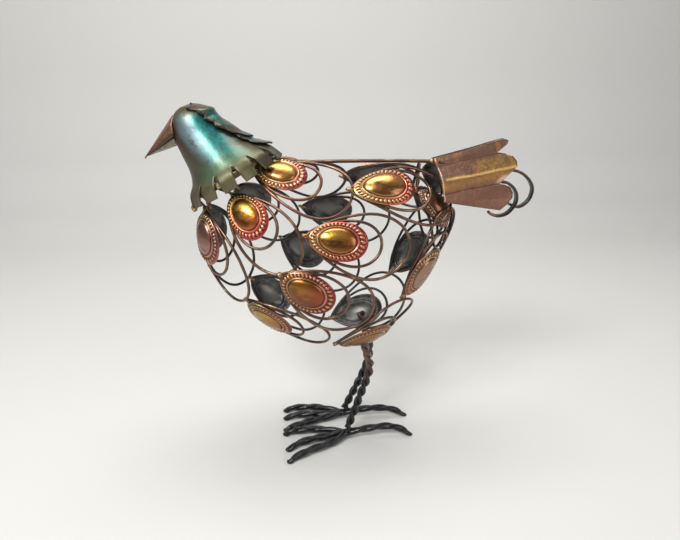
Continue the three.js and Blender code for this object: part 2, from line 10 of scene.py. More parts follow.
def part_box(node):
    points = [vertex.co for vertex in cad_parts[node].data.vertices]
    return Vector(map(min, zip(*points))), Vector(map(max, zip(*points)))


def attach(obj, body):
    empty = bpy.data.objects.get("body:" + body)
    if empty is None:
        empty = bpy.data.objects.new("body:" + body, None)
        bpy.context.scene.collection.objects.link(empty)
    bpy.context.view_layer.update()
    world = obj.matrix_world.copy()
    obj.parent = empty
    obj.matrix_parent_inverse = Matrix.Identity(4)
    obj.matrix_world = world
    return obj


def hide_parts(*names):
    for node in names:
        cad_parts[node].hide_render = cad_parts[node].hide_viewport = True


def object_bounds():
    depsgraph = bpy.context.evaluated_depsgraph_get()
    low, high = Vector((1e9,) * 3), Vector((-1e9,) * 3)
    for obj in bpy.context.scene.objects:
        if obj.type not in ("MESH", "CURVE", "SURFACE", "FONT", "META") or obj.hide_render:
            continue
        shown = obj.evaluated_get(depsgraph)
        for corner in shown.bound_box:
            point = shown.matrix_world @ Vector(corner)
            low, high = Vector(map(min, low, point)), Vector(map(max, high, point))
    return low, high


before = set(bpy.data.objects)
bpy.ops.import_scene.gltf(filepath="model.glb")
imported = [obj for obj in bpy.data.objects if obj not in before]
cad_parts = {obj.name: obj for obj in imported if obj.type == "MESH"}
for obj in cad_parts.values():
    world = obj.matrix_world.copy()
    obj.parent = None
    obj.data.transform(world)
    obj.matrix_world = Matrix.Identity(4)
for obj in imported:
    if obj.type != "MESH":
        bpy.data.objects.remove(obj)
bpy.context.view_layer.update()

# The hen's frame: the middle of its neck ring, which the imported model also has
RING_CENTRE = Vector((-95.2, 0, 225.8))
ring_low, ring_high = (Vector(c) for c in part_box("neck_ring"))
SHIFT = (ring_low + ring_high) / 2 - RING_CENTRE / 1000


def metres(p):
    return Vector(p) / 1000 + SHIFT


# Camera: it stands nearer to the head, looks down and turns towards the tail
SENSOR_WIDTH = 36
FOCAL_PIXELS = 530
IMAGE_WIDTH = 680
NEAREST_SEEN = 0.01
CAMERA_PLACE = (-53.17, -390.2, 291)
CAMERA_TILT = 70
CAMERA_TURN = -5.5
camera_data = bpy.data.cameras.new("camera")
camera_data.sensor_width = SENSOR_WIDTH
camera_data.lens = SENSOR_WIDTH * FOCAL_PIXELS / IMAGE_WIDTH
camera_data.clip_start = NEAREST_SEEN
camera = bpy.data.objects.new("camera", camera_data)
camera.location = metres(CAMERA_PLACE)
camera.rotation_euler = (math.radians(CAMERA_TILT), 0, math.radians(CAMERA_TURN))
bpy.context.scene.collection.objects.link(camera)
bpy.context.scene.camera = camera


# Finishes
class Value:
    """One output of a finish's nodes; sums on it add Math nodes."""

    def __init__(self, finish, socket):
        self.finish = finish
        self.socket = socket

    def math(self, operation, a, b):
        return self.finish.node("ShaderNodeMath", {"operation": operation}, {0: a, 1: b})

    def __add__(self, other):
        return self.math("ADD", self, other)

    def __radd__(self, other):
        return self.math("ADD", other, self)

    def __sub__(self, other):
        return self.math("SUBTRACT", self, other)

    def __rsub__(self, other):
        return self.math("SUBTRACT", other, self)

    def __mul__(self, other):
        return self.math("MULTIPLY", self, other)

    def __rmul__(self, other):
        return self.math("MULTIPLY", other, self)

    def __pow__(self, other):
        return self.math("POWER", self, other)

    def __abs__(self):
        return self.finish.node("ShaderNodeMath", {"operation": "ABSOLUTE"}, {0: self})

    def least(self, other):
        return self.math("MINIMUM", self, other)

    def most(self, other):
        return self.math("MAXIMUM", self, other)

    def rise(self, low, high):
        """0 at low, 1 at high, smooth between."""
        settings = {"interpolation_type": "SMOOTHSTEP"}
        return self.finish.node("ShaderNodeMapRange", settings, {0: self, 1: low, 2: high})

    def band(self, middle, half):
        """1 at middle, 0 where it is half away."""
        return 1 - abs(self - middle).rise(0, half)


class Finish:
    """A material with one Principled shader."""

    def __init__(self, name, metallic=0.9, roughness=0.3, coat=0.0, coat_roughness=0.1):
        self.material = bpy.data.materials.new(name)
        self.material.use_nodes = True
        self.tree = self.material.node_tree
        self.tree.nodes.clear()
        output = self.tree.nodes.new("ShaderNodeOutputMaterial")
        self.shader = self.tree.nodes.new("ShaderNodeBsdfPrincipled")
        self.tree.links.new(self.shader.outputs[0], output.inputs["Surface"])
        self.shader.inputs["Metallic"].default_value = metallic
        self.shader.inputs["Roughness"].default_value = roughness
        self.shader.inputs["Coat Weight"].default_value = coat
        self.shader.inputs["Coat Roughness"].default_value = coat_roughness

    def node(self, kind, settings, inputs, output=0):
        made = self.tree.nodes.new(kind)
        for key, value in settings.items():
            setattr(made, key, value)
        for key, value in inputs.items():
            self.feed(made.inputs[key], value)
        return Value(self, made.outputs[output])

    def feed(self, socket, value):
        if isinstance(value, Value):
            self.tree.links.new(value.socket, socket)
        elif isinstance(value, (tuple, list)) and socket.type == "RGBA":
            socket.default_value = (*value[:3], 1)
        else:
            socket.default_value = value

    def put(self, name, value):
        self.feed(self.shader.inputs[name], value)

    def place(self, scale=(1, 1, 1), turn=(0, 0, 0)):
        """Object coordinates in metres, scaled and turned."""
        where = self.node("ShaderNodeTexCoord", {}, {}, "Object")
        return self.node("ShaderNodeMapping", {}, {"Vector": where, "Scale": scale, "Rotation": turn})

    def axes(self, vector):
        split = self.tree.nodes.new("ShaderNodeSeparateXYZ")
        self.feed(split.inputs[0], vector)
        return [Value(self, s) for s in split.outputs]

    def sheet_uv(self):
        """The piece's own u and v, from 0 to 1."""
        uv = self.node("ShaderNodeUVMap", {"uv_map": "UVMap"}, {})
        return self.axes(uv)[:2]

    def attribute(self, name):
        return self.node("ShaderNodeAttribute", {"attribute_name": name}, {}, "Fac")

    def noise(self, scale, detail=3.0, roughness=0.55, vector=None, distortion=0.0):
        inputs = {"Vector": vector or self.place(), "Scale": scale, "Detail": detail}
        inputs.update({"Roughness": roughness, "Distortion": distortion})
        return self.node("ShaderNodeTexNoise", {}, inputs, 0)

    def mix(self, factor, low, high):
        settings = {"data_type": "RGBA"}
        return self.node("ShaderNodeMix", settings, {0: factor, 6: low, 7: high}, 2)

    def bump(self, height, distance, strength=1.0):
        inputs = {"Height": height, "Distance": distance, "Strength": strength}
        self.put("Normal", self.node("ShaderNodeBump", {}, inputs))


def facing_out(finish):
    """1 where a surface faces away from the middle of the body, -1 where it faces in."""
    where = finish.node("ShaderNodeTexCoord", {}, {}, "Object")
    inputs = {0: where, 1: tuple(metres(BODY_CENTRE))}
    away = finish.node("ShaderNodeVectorMath", {"operation": "SUBTRACT"}, inputs)
    away = finish.node("ShaderNodeVectorMath", {"operation": "NORMALIZE"}, {0: away})
    face = finish.node("ShaderNodeTexCoord", {}, {}, "Normal")
    settings = {"operation": "DOT_PRODUCT"}
    return finish.node("ShaderNodeVectorMath", settings, {0: away, 1: face}, "Value")


def from_middle(u, v):
    """Square of the distance from the middle of a sheet, 1 at its rim."""
    return ((u - 0.5) ** 2 + (v - 0.5) ** 2) * 4


def wire_lacquer(name, gold=0.35):
    f = Finish(name, metallic=0.92, roughness=0.3, coat=0.4, coat_roughness=0.12)
    patches = f.noise(55, 2)
    fine = f.noise(420, 4)
    red_brown = f.mix(patches.rise(0.42, 0.6), (0.17, 0.068, 0.044), (0.115, 0.07, 0.048))
    gilt = f.noise(90, 2).rise(0.62 - gold * 0.3, 0.75 - gold * 0.2)
    bronze = f.mix(gilt, red_brown, (0.26, 0.15, 0.075))
    worn = f.mix(fine.rise(0.55, 0.75) * 0.45, bronze, (0.06, 0.045, 0.04))
    # Painted shade: wire sides that face in towards the body's middle go near black.
    inward_shaded = f.mix(facing_out(f).rise(-0.25, 0.35), (0.045, 0.042, 0.04), worn)
    braze = f.mix(f.noise(600, 3).rise(0.4, 0.65), (0.3, 0.15, 0.07), (0.52, 0.37, 0.16))
    f.put("Base Color", f.mix(f.attribute("braze") * 0.8, inward_shaded, braze))
    f.put("Roughness", 0.28 + fine.rise(0.3, 0.8) * 0.22)
    f.bump(f.noise(900, 3) + f.attribute("braze") * f.noise(1300, 2), 0.0002, 0.5)
    return f.material


def bare_back(name):
    f = Finish(name, metallic=0.75, roughness=0.42, coat=0.15, coat_roughness=0.3)
    cloud = f.noise(160, 4)
    tone = f.mix(cloud.rise(0.35, 0.7), (0.07, 0.066, 0.062), (0.2, 0.19, 0.175))
    # Painted highlight: the middle of the back is a lighter grey, fading out to the clouded tone towards the
    # rim.
    beyond_highlight = from_middle(*f.sheet_uv()).rise(0.02, 0.3)
    f.put("Base Color", f.mix(beyond_highlight, (0.19, 0.18, 0.165), tone))
    f.put("Roughness", 0.3 + cloud * 0.22)
    f.bump(f.noise(1100, 3), 0.0002, 0.4)
    return f.material


def plate_lacquer(name, tip, middle, end, dome_tip, dome_end):
    """Heat-tinted plate: tip to end colours the rim, dome_tip to dome_end the middle."""
    f = Finish(name, metallic=0.95, roughness=0.3, coat=0.5, coat_roughness=0.12)
    u, v = f.sheet_uv()
    blotch = f.noise(70, 2)
    along = u + (blotch - 0.5) * 0.25
    rim = f.mix(along.rise(0.05, 0.5), tip, middle)
    rim = f.mix(along.rise(0.45, 0.9), rim, end)
    dome = f.mix((u + (blotch - 0.5) * 0.5).rise(0.3, 0.78), dome_tip, dome_end)
    radius = from_middle(u, v) ** 0.5
    tone = f.mix(radius.rise(0.56, 0.64), dome, rim)
    streak = f.noise(120, 4, 0.6, f.place((1, 1, 2.6)))
    # Painted shade: the dome darkens to deep red-brown towards its low-v side, with a streaky border.
    dome_shade = (v + (streak - 0.5) * 0.7).rise(0.6, 0.34) * (1 - radius.rise(0.52, 0.62))
    shaded_tone = f.mix(dome_shade * 0.85, tone, (0.15, 0.04, 0.01))
    crown = f.mix(f.attribute("crown") * 0.5, shaded_tone, (0.98, 0.64, 0.3))
    # Painted shade: the grooves between the beads and round the foot of the dome go dark red-brown.
    groove = f.attribute("groove")
    groove_shade = f.mix((groove * 1.6).least(0.95), crown, (0.07, 0.015, 0.01))
    speck = f.noise(900, 3).rise(0.6, 0.7)
    f.put("Base Color", f.mix(speck * 0.45, groove_shade, (0.1, 0.04, 0.02)))
    f.put("Roughness", 0.2 + streak * 0.22 + groove * 0.2)
    f.bump(f.noise(220, 4) + streak * 0.5, 0.0006, 0.5)
    return f.material


def hood_lacquer():
    f = Finish("hood_lacquer", metallic=0.85, roughness=0.36, coat=0.45, coat_roughness=0.2)
    u, v = f.sheet_uv()
    side = abs(u - 0.5) * 2  # 1 at the front, 0 at the nape
    blotch = f.noise(48, 3)
    grain = f.noise(420, 5, 0.7)
    cloud = f.noise(130, 4, 0.65)
    teal = f.mix(grain.rise(0.35, 0.7), (0.01, 0.12, 0.115), (0.03, 0.21, 0.185))
    # Painted sheen: a pale blue-grey band over the teal on the sides towards the front.
    front_sheen = f.mix((side + (blotch - 0.5) * 0.3).rise(0.42, 0.6), teal, (0.22, 0.32, 0.34))
    edge = side + (v - 0.3) * 0.62 + (blotch - 0.5) * 0.25
    brown = edge.rise(0.72, 0.88)
    front = f.mix(brown, front_sheen, (0.06, 0.034, 0.022))
    green = f.mix((v + (blotch - 0.5) * 0.3).rise(0.48, 0.8), front, (0.075, 0.13, 0.07))
    gold = f.mix((v + (blotch - 0.5) * 0.2).rise(0.72, 0.92), green, (0.12, 0.105, 0.05))
    breast = (side + (blotch - 0.5) * 0.2).rise(0.64, 0.78) * v.rise(0.4, 0.7)
    collar = f.mix(breast * 0.85, gold, (0.065, 0.05, 0.03))
    behind = (0.36 - side + (blotch - 0.5) * 0.2).rise(0.0, 0.2)
    nape = f.mix(behind * 0.85, collar, (0.1, 0.085, 0.045))
    top = (0.36 - v + (blotch - 0.5) * 0.35).rise(0.0, 0.14)
    moss = f.mix(cloud.rise(0.42, 0.6), (0.1, 0.075, 0.035), (0.14, 0.13, 0.07))
    crown = f.mix(top, nape, moss)
    rust = f.mix(cloud.rise(0.5, 0.66) * 0.6, crown, (0.06, 0.045, 0.028))
    f.put("Base Color", f.mix(grain.rise(0.58, 0.72) * 0.5, rust, (0.035, 0.035, 0.03)))
    dull = brown.most(top * 0.7)
    f.put("Metallic", 0.85 - dull * 0.5)
    f.put("Coat Weight", 0.4 - dull * 0.36)
    f.put("Roughness", 0.3 + grain * 0.2 + cloud * 0.08)
    f.bump(f.noise(260, 3) + grain * 0.4, 0.0004, 0.35)
    return f.material


def inner_sheet(name):
    f = Finish(name, metallic=0.7, roughness=0.5)
    cloud = f.noise(140, 4)
    f.put("Base Color", f.mix(cloud.rise(0.35, 0.7), (0.03, 0.03, 0.03), (0.09, 0.085, 0.08)))
    f.put("Roughness", 0.4 + cloud * 0.25)
    return f.material


def crest_lacquer():
    f = Finish("crest_lacquer", metallic=0.88, roughness=0.3, coat=0.5, coat_roughness=0.12)
    u, v = f.sheet_uv()
    blotch = f.noise(110, 3)
    grain = f.noise(500, 4, 0.7)
    across = abs(u - 0.5) * 2
    olive = f.mix(blotch.rise(0.4, 0.65), (0.07, 0.045, 0.025), (0.11, 0.11, 0.055))
    stripe = (v + (blotch - 0.5) * 0.4).band(0.5, 0.26) * (1 - across.rise(0.5, 0.95))
    sea = f.mix(stripe, olive, (0.035, 0.19, 0.165))
    rust = f.mix((0.34 - v + (blotch - 0.5) * 0.3).rise(0.0, 0.16), sea, (0.08, 0.055, 0.025))
    dark = f.mix((v + (blotch - 0.5) * 0.2).rise(0.74, 0.98), rust, (0.045, 0.045, 0.04))
    # Painted shadow: the leaf's two long edges go near black.
    rim = f.mix(across.rise(0.8, 0.95) * 0.85, dark, (0.018, 0.017, 0.015))
    f.put("Base Color", f.mix(grain.rise(0.56, 0.7) * 0.6, rim, (0.03, 0.025, 0.02)))
    f.put("Roughness", 0.28 + grain * 0.25)
    f.bump(f.noise(170, 4) + grain * 0.3, 0.001, 0.7)
    return f.material


def beak_lacquer(name, low, high):
    f = Finish(name, metallic=0.85, roughness=0.35, coat=0.35, coat_roughness=0.2)
    brushed = f.noise(300, 3, 0.6, f.place((1, 1, 6), (0, 0.9, 0)))
    u, v = f.sheet_uv()
    # Painted shade: the free edges along the slit between the two halves go near black; the darkened tip is the
    # beak's own colour.
    edge = abs(u - 0.5).rise(0.36, 0.47)
    worn = f.mix(brushed.rise(0.35, 0.65), low, high)
    f.put("Base Color", f.mix(edge.most(v.rise(0.72, 1.0)) * 0.75, worn, (0.03, 0.02, 0.018)))
    f.put("Roughness", 0.3 + brushed * 0.2)
    f.bump(brushed, 0.0002, 0.3)
    return f.material


def tail_lacquer():
    f = Finish("tail_lacquer", metallic=0.88, roughness=0.34, coat=0.45, coat_roughness=0.15)
    u, v = f.sheet_uv()
    blotch = f.noise(60, 4, 0.6)
    grain = f.noise(380, 5, 0.7)
    brushed = f.noise(150, 5, 0.65, f.place((1, 1, 0.25)))
    crackle = f.noise(210, 5, 0.75, None, 1.5)
    mauve = f.mix(blotch.rise(0.38, 0.66), (0.17, 0.088, 0.058), (0.21, 0.115, 0.078))
    copper = f.mix(brushed.rise(0.5, 0.66) * 0.7, mauve, (0.36, 0.17, 0.08))
    patch = (v - 0.3).rise(0, 0.1) * v.rise(0.56, 0.5) * (u + (blotch - 0.5)).rise(0.35, 0.6)
    mustard = f.mix(patch * crackle.rise(0.35, 0.6), copper, (0.36, 0.21, 0.045))
    ridge = (v + (blotch - 0.5) * 0.02).band(0.5, 0.03) * u.rise(0.02, 0.15)
    golden = f.mix(ridge * 0.9, mustard, (0.78, 0.5, 0.16))
    glow = (v + (blotch - 0.5) * 0.1).band(0.58, 0.08)
    orange = f.mix(glow * 0.85, golden, (0.36, 0.18, 0.06))
    # Painted shade: thin dark red-brown lines along the two fold valleys.
    creases = v.band(0.667, 0.02).most(v.band(0.278, 0.015))
    crease_shade = f.mix(creases * 0.7, orange, (0.12, 0.03, 0.015))
    pink = f.mix((v - 0.67).rise(0, 0.05) * 0.9, crease_shade, (0.23, 0.11, 0.072))
    cream = f.mix((v.band(0.62, 0.05) * u.rise(0.84, 0.94)) * 0.8, pink, (0.75, 0.55, 0.35))
    f.put("Base Color", f.mix(grain.rise(0.55, 0.7) * 0.6, cream, (0.08, 0.035, 0.025)))
    f.put("Roughness", 0.32 + grain * 0.22)
    f.bump(f.noise(330, 4) + crackle * 0.8, 0.0005, 0.6)
    return f.material


def black_lacquer(name, brown_from, brown_to):
    """Black gloss; brown between the two heights, in millimetres."""
    f = Finish(name, metallic=0.1, roughness=0.3, coat=0.35, coat_roughness=0.1)
    f.shader.inputs["Specular IOR Level"].default_value = 0.3
    z = f.axes(f.place())[2]
    low, high = metres((0, 0, brown_from)).z, metres((0, 0, brown_to)).z
    upper = (z + (f.noise(90, 2) - 0.5) * 0.01).rise(low, high)
    brown = f.mix(f.noise(150, 3).rise(0.35, 0.65), (0.05, 0.024, 0.018), (0.12, 0.06, 0.04))
    black = f.mix(f.noise(220, 3).rise(0.4, 0.7), (0.004, 0.004, 0.005), (0.012, 0.012, 0.013))
    f.put("Base Color", f.mix(upper, black, brown))
    f.put("Roughness", 0.14 + f.noise(300, 4) * 0.2)
    f.bump(f.noise(420, 4), 0.001, 0.7)
    return f.material


# Body surface: an outline in the centre plane, swollen to both sides
BODY_CENTRE = Vector((-28, 0, 155))
BODY_HALF_WIDTH = 51
BODY_ROUND = 1.7
BODY_RADII = (90, 112, 100, 82, 80, 90, 100.6, 94.2, 80.4, 71.3, 68, 70.4, 71.1, 76.3, 79.9)


def curve_between(a, b, c, d, f):
    """The smooth curve from b to c, with a before and d after them, at the share f."""
    return b + 0.5 * f * (c - a + f * (2 * a - 5 * b + 4 * c - d + f * (3 * (b - c) + d - a)))


def ramp(x, low, high):
    """0 at low, 1 at high, straight between."""
    return min(max((x - low) / (high - low), 0), 1)


def outline_radius(angle):
    """Radius of the outline in the centre plane."""
    count = len(BODY_RADII)
    step = (angle / (2 * math.pi)) % 1 * count
    i = math.floor(step)
    return curve_between(*(BODY_RADII[(i + k) % count] for k in (-1, 0, 1, 2)), step - i)


def depth_in(p):
    """1 on the body's surface, less inside it."""
    q = p - BODY_CENTRE
    r = math.hypot(q.x, q.z) / outline_radius(math.atan2(q.z, q.x))
    w = abs(q.y) / BODY_HALF_WIDTH
    return (r**BODY_ROUND + w**BODY_ROUND) ** (1 / BODY_ROUND)


def surface_normal(p):
    e = 0.05
    steps = (Vector((e, 0, 0)), Vector((0, e, 0)), Vector((0, 0, e)))
    return Vector([depth_in(p + s) - depth_in(p - s) for s in steps]).normalized()


def on_body(round_angle, out_angle):
    """A point of the surface, by its angle round the outline and its angle out of the plane."""
    a, s = math.radians(round_angle), math.radians(out_angle)
    r = outline_radius(a) * math.cos(s)
    p = Vector((r * math.cos(a), -BODY_HALF_WIDTH * math.sin(s), r * math.sin(a)))
    return BODY_CENTRE + p / depth_in(BODY_CENTRE + p)


# Feathers of the left side, from tip to round end, as in the solids. low and high are how far
# the tip and the end lie over the body's surface, to_ring is where the lead to the neck ring bends
WIRE = 2.2
RIDGE_WIRE = 2.4
BACK_LEVEL = BODY_CENTRE.z + 50
BACK_GAP = RIDGE_WIRE * 0.9 + 1.28
CENTRE_GAP = 1.18
RING_RADIUS = 30.9
RING_BACK = Vector((0.863, 0, 0.505))
RING_UP = Vector((-0.505, 0, 0.863))
RIDGE_HEIGHT = 232
INNER_SHARE = 0.69
LOOP_POINT = 0.35
PLATE_LENGTH = 39
PLATE_WIDTH = 25.5
PLATE_FROM_TIP = 21.6
PLATE_REST = 1.43
PLATE_SHEET = 0.9
PLATE_WALL = PLATE_SHEET * 0.8
PLATE_DOME = 3.2
FEATHERS = {
    "back_front": dict(tip=(124, 9), end=(73, 40), width=43, low=0, high=-2.7, to_ring=5),
    "shoulder": dict(tip=(138, 22), end=(154, 74), width=39, low=-2.7, high=-2.7, to_ring=3),
    "breast_front": dict(tip=(152, 10), end=(198, 27), width=42, low=0, high=0, to_ring=3),
    "flank": dict(tip=(114, 63), end=(17, 55), width=41, low=0.5, high=0.3),
    "back_rear": dict(tip=(75, 33), end=(27, 16), width=40, low=0, high=0),
    "belly_front": dict(tip=(167, 68), end=(317, 55), width=42, low=0, high=0),
    "breast_low": dict(tip=(199, 30), end=(270, 29), width=42, low=-2.7, high=-2.7),
    "thigh": dict(tip=(277, 29), end=(337, 19), width=42, low=0, high=0),
    "rump_low": dict(tip=(341, 36), end=(384, 12), width=34, low=-2.7, high=-2.7),
    "rump_high": dict(tip=(42, 16), end=(8, 16), width=26, low=-12.4, high=-5.4, to_ridge=True),
}
# Heat tints of the plates: rim at the tip, middle and end, then the dome at the tip and end
TINTS = {
    "back_front": (
        (0.7, 0.54, 0.17), (0.56, 0.28, 0.1), (0.58, 0.13, 0.09), (0.36, 0.27, 0.06), (0.48, 0.26, 0.06),
    ),
    "shoulder": (
        (0.76, 0.54, 0.17), (0.66, 0.17, 0.05), (0.66, 0.06, 0.06), (0.48, 0.28, 0.045), (0.5, 0.15, 0.025),
    ),
    "breast_front": (
        (0.3, 0.2, 0.1), (0.27, 0.12, 0.09), (0.36, 0.11, 0.1), (0.28, 0.14, 0.12), (0.33, 0.17, 0.11),
    ),
    "flank": (
        (0.55, 0.28, 0.11), (0.5, 0.08, 0.04), (0.46, 0.035, 0.045), (0.6, 0.33, 0.06), (0.34, 0.12, 0.02),
    ),
    "back_rear": (
        (0.6, 0.4, 0.15), (0.64, 0.27, 0.11), (0.6, 0.09, 0.06), (0.52, 0.32, 0.09), (0.6, 0.27, 0.08),
    ),
    "belly_front": (
        (0.4, 0.18, 0.06), (0.27, 0.055, 0.03), (0.34, 0.032, 0.035), (0.34, 0.15, 0.022), (0.28, 0.055, 0.015),
    ),
    "breast_low": (
        (0.3, 0.2, 0.07), (0.32, 0.14, 0.06), (0.32, 0.1, 0.06), (0.38, 0.24, 0.06), (0.34, 0.15, 0.05),
    ),
    "thigh": (
        (0.26, 0.13, 0.06), (0.26, 0.11, 0.05), (0.32, 0.15, 0.06), (0.26, 0.12, 0.06), (0.32, 0.15, 0.05),
    ),
    "rump_low": (
        (0.28, 0.13, 0.07), (0.34, 0.16, 0.09), (0.36, 0.22, 0.12), (0.3, 0.19, 0.14), (0.36, 0.2, 0.09),
    ),
    "rump_high": (
        (0.2, 0.12, 0.07), (0.19, 0.1, 0.06), (0.17, 0.07, 0.05), (0.17, 0.12, 0.07), (0.19, 0.1, 0.06),
    ),
}


class Feather:
    """The frame of one feather: s from its tip to its round end, t across, h out of the body."""

    def __init__(self, tip, end, width, low, high, to_ring=0, to_ridge=False):
        self.width, self.low, self.high = width, low, high
        self.to_ring, self.to_ridge = to_ring, to_ridge
        self.tip = on_body(*tip)
        end = on_body(*end)
        self.length = (end - self.tip).length
        self.along = (end - self.tip).normalized()
        out = surface_normal(self.tip.lerp(end, 0.5))
        self.across = out.cross(self.along).normalized()

    def at(self, s, t, h=0.0):
        p = self.tip + self.along * s + self.across * t
        p = (p - BODY_CENTRE) / depth_in(p) + BODY_CENTRE
        share = min(max(s / self.length, 0), 1)
        level = self.low + (self.high - self.low) * share + h
        return p + surface_normal(p) * level

    def within(self, s, t):
        """t, drawn in until the wire keeps to its own side of the centre plane."""
        for _ in range(24):
            p = self.at(s, t)
            if p.y <= -(BACK_GAP if p.z > BACK_LEVEL else CENTRE_GAP):
                return t
            t *= 0.95
        return t

    def loop(self, share, steps):
        """Points round a loop of a share of the feather's size, pointed at the tip."""
        size, width = self.length * share, self.width * share
        points = []
        for i in range(steps):
            a = 2 * math.pi * i / steps
            u = (1 - math.cos(a)) / 2
            wide = -width / 2 * math.sin(a) * u**LOOP_POINT * (1 + 0.8 * LOOP_POINT)
            points.append(self.at(size * u, self.within(size * u, wide)))
        return points


def nearest_on_ring(p):
    q = p - RING_CENTRE
    a = math.atan2(-q.y, q.dot(RING_BACK))
    side = Vector((0, -RING_RADIUS * math.sin(a), 0))
    return RING_CENTRE + RING_BACK * (RING_RADIUS * math.cos(a)) + side


def through(points, steps):
    """Smooth line through points, steps to each stretch."""
    pts = [Vector(p) for p in points]
    ends = [pts[0] * 2 - pts[1]] + pts + [pts[-1] * 2 - pts[-2]]
    line = []
    for i in range(len(pts) - 1):
        for k in range(steps):
            line.append(curve_between(*ends[i : i + 4], k / steps))
    return line + [pts[-1]]


def between_rows(rows, share):
    """The numbers of a table at a share of its length, straight between two rows."""
    k = share * (len(rows) - 1)
    i = min(int(k), len(rows) - 2)
    return [a + (b - a) * (k - i) for a, b in zip(rows[i], rows[i + 1])]


# Making pieces
def new_mesh():
    """An empty mesh with the layers that the finishes read."""
    bm = bmesh.new()
    bm.loops.layers.uv.new("UVMap")
    for name in ("braze", "crown", "groove"):
        bm.verts.layers.float.new(name)
    return bm


def add_wires(bm, lines, sides=2):
    """Round wires along lines of (points, radii, closed), swept by a bevelled curve."""
    data = bpy.data.curves.new("sweep", "CURVE")
    data.dimensions = "3D"
    data.bevel_depth = 1
    data.bevel_resolution = sides
    data.use_fill_caps = True
    for points, radii, closed in lines:
        spline = data.splines.new("POLY")
        spline.points.add(len(points) - 1)
        spline.use_cyclic_u = closed
        for i, p in enumerate(points):
            spline.points[i].co = (*p, 1)
            spline.points[i].radius = radii if isinstance(radii, (int, float)) else radii[i]
    made = bpy.data.objects.new("sweep", data)
    mesh = made.to_mesh()
    bm.from_mesh(mesh)
    made.to_mesh_clear()
    bpy.data.objects.remove(made)
    bpy.data.curves.remove(data)


def add_blob(bm, where, size, along=Vector((1, 0, 0)), seed=0.0, detail=2):
    """A braze bead: a lumpy ball, size across and long, laid along a direction."""
    turn = Vector((1, 0, 0)).rotation_difference(along).to_matrix().to_4x4()
    made = bmesh.ops.create_icosphere(bm, subdivisions=detail, radius=1)["verts"]
    layer = bm.verts.layers.float["braze"]
    for v in made:
        v[layer] = 1
        v.co *= 1 + 0.22 * noise.noise(v.co * 1.7 + Vector((seed * 7.3, seed * 3.1, seed)))
    grow = Matrix.Diagonal((size[0], size[1], size[2], 1))
    bmesh.ops.transform(bm, matrix=Matrix.Translation(where) @ turn @ grow, verts=made)


def mirrored(bm):
    """A copy for the hen's right side."""
    other = bm.copy()
    bmesh.ops.scale(other, vec=(1, -1, 1), verts=other.verts)
    bmesh.ops.reverse_faces(other, faces=other.faces)
    return other


def turn_out(bm, probe, out):
    """Turns all faces the same way round, with the face probe looking along out."""
    bmesh.ops.recalc_face_normals(bm, faces=bm.faces)
    if probe.normal.dot(Vector(out)) < 0:
        bmesh.ops.reverse_faces(bm, faces=bm.faces)


def nearest_face(bm, where):
    return min(bm.faces, key=lambda f: (f.calc_center_median() - where).length)


def add_part(bm, part):
    """Moves the mesh part into bm."""
    data = bpy.data.meshes.new("part")
    part.to_mesh(data)
    part.free()
    bm.from_mesh(data)
    bpy.data.meshes.remove(data)


def piece(name, bm, materials, nodes, slot, sheet=None, smooth=True, bevel=None, sharp=180):
    """Turns a mesh in millimetres into a finished piece in the hen's place.

    sheet is its wall, bevel the width of its rounded edges, sharp the angle of a hard crease.
    """
    bmesh.ops.transform(bm, matrix=Matrix.Translation(SHIFT) @ Matrix.Scale(0.001, 4), verts=bm.verts)
    for f in bm.faces:
        f.smooth = smooth
    for e in bm.edges:
        e.smooth = len(e.link_faces) != 2 or e.calc_face_angle() < math.radians(sharp)
    mesh = bpy.data.meshes.new(name)
    bm.to_mesh(mesh)
    bm.free()
    for m in materials:
        mesh.materials.append(m)
    made = bpy.data.objects.new(name, mesh)
    bpy.context.scene.collection.objects.link(made)
    if sheet:
        wall = made.modifiers.new("sheet", "SOLIDIFY")
        wall.thickness = sheet / 1000
        wall.offset = -1
        wall.use_even_offset = True
        wall.material_offset = 1 if len(materials) > 1 else 0
        wall.material_offset_rim = 0
    if bevel:
        edge = made.modifiers.new("edges", "BEVEL")
        edge.width = bevel / 1000
        edge.segments = 2
        edge.limit_method = "ANGLE"
    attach(made, "root")
    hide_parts(*nodes)
    return made


def sheet_mesh(columns, rows, where):
    """A sheet of columns by rows; where(u, v) places each corner."""
    bm = new_mesh()
    uv = bm.loops.layers.uv.active
    bmesh.ops.create_grid(bm, x_segments=columns, y_segments=rows, size=0.5)
    flat = {}
    for v in bm.verts:
        flat[v] = (v.co.x + 0.5, v.co.y + 0.5)
    for f in bm.faces:
        for loop in f.loops:
            loop[uv].uv = flat[loop.vert]
    for v in bm.verts:
        v.co = where(*flat[v])
    return bm


# Stamped oval plate: radii are shares of its half size, heights are millimetres
BEADS = 34
BEAD_COLUMNS = 6
BEAD_MIDDLE = 0.835
BEAD_HEIGHT = 0.85
EDGE_HEIGHT = 0.55
OVAL_MIDDLE = 0.69
OVAL_HEIGHT = 1.0
STEP_HEIGHT = 0.45
DOME_RADIUS = 0.64
DOME_HEIGHT = PLATE_DOME * 0.82
PLATE_RINGS = (
    1.0, 0.975, 0.95, 0.925, 0.9, 0.878, 0.856, 0.835, 0.814, 0.792, 0.77, 0.75,
    0.73, 0.71, 0.69, 0.67, 0.65, 0.63, 0.605, 0.56, 0.49, 0.4, 0.3, 0.2, 0.1,
)


def arc_angles(count):
    """Angles round the plate's ellipse that are the same distance apart along it."""
    fine = 2000
    lengths = [0.0]
    for i in range(fine):
        a = 2 * math.pi * (i + 0.5) / fine
        lengths.append(lengths[-1] + math.hypot(PLATE_LENGTH * math.sin(a), PLATE_WIDTH * math.cos(a)))
    angles = []
    i = 0
    for k in range(count):
        goal = lengths[-1] * k / count
        while lengths[i + 1] < goal:
            i += 1
        share = (goal - lengths[i]) / (lengths[i + 1] - lengths[i])
        angles.append(2 * math.pi * (i + share) / fine)
    return angles


def swell(r, middle, half):
    """A rounded rise, 1 at the middle."""
    return math.exp(-(((r - middle) / half) ** 2))


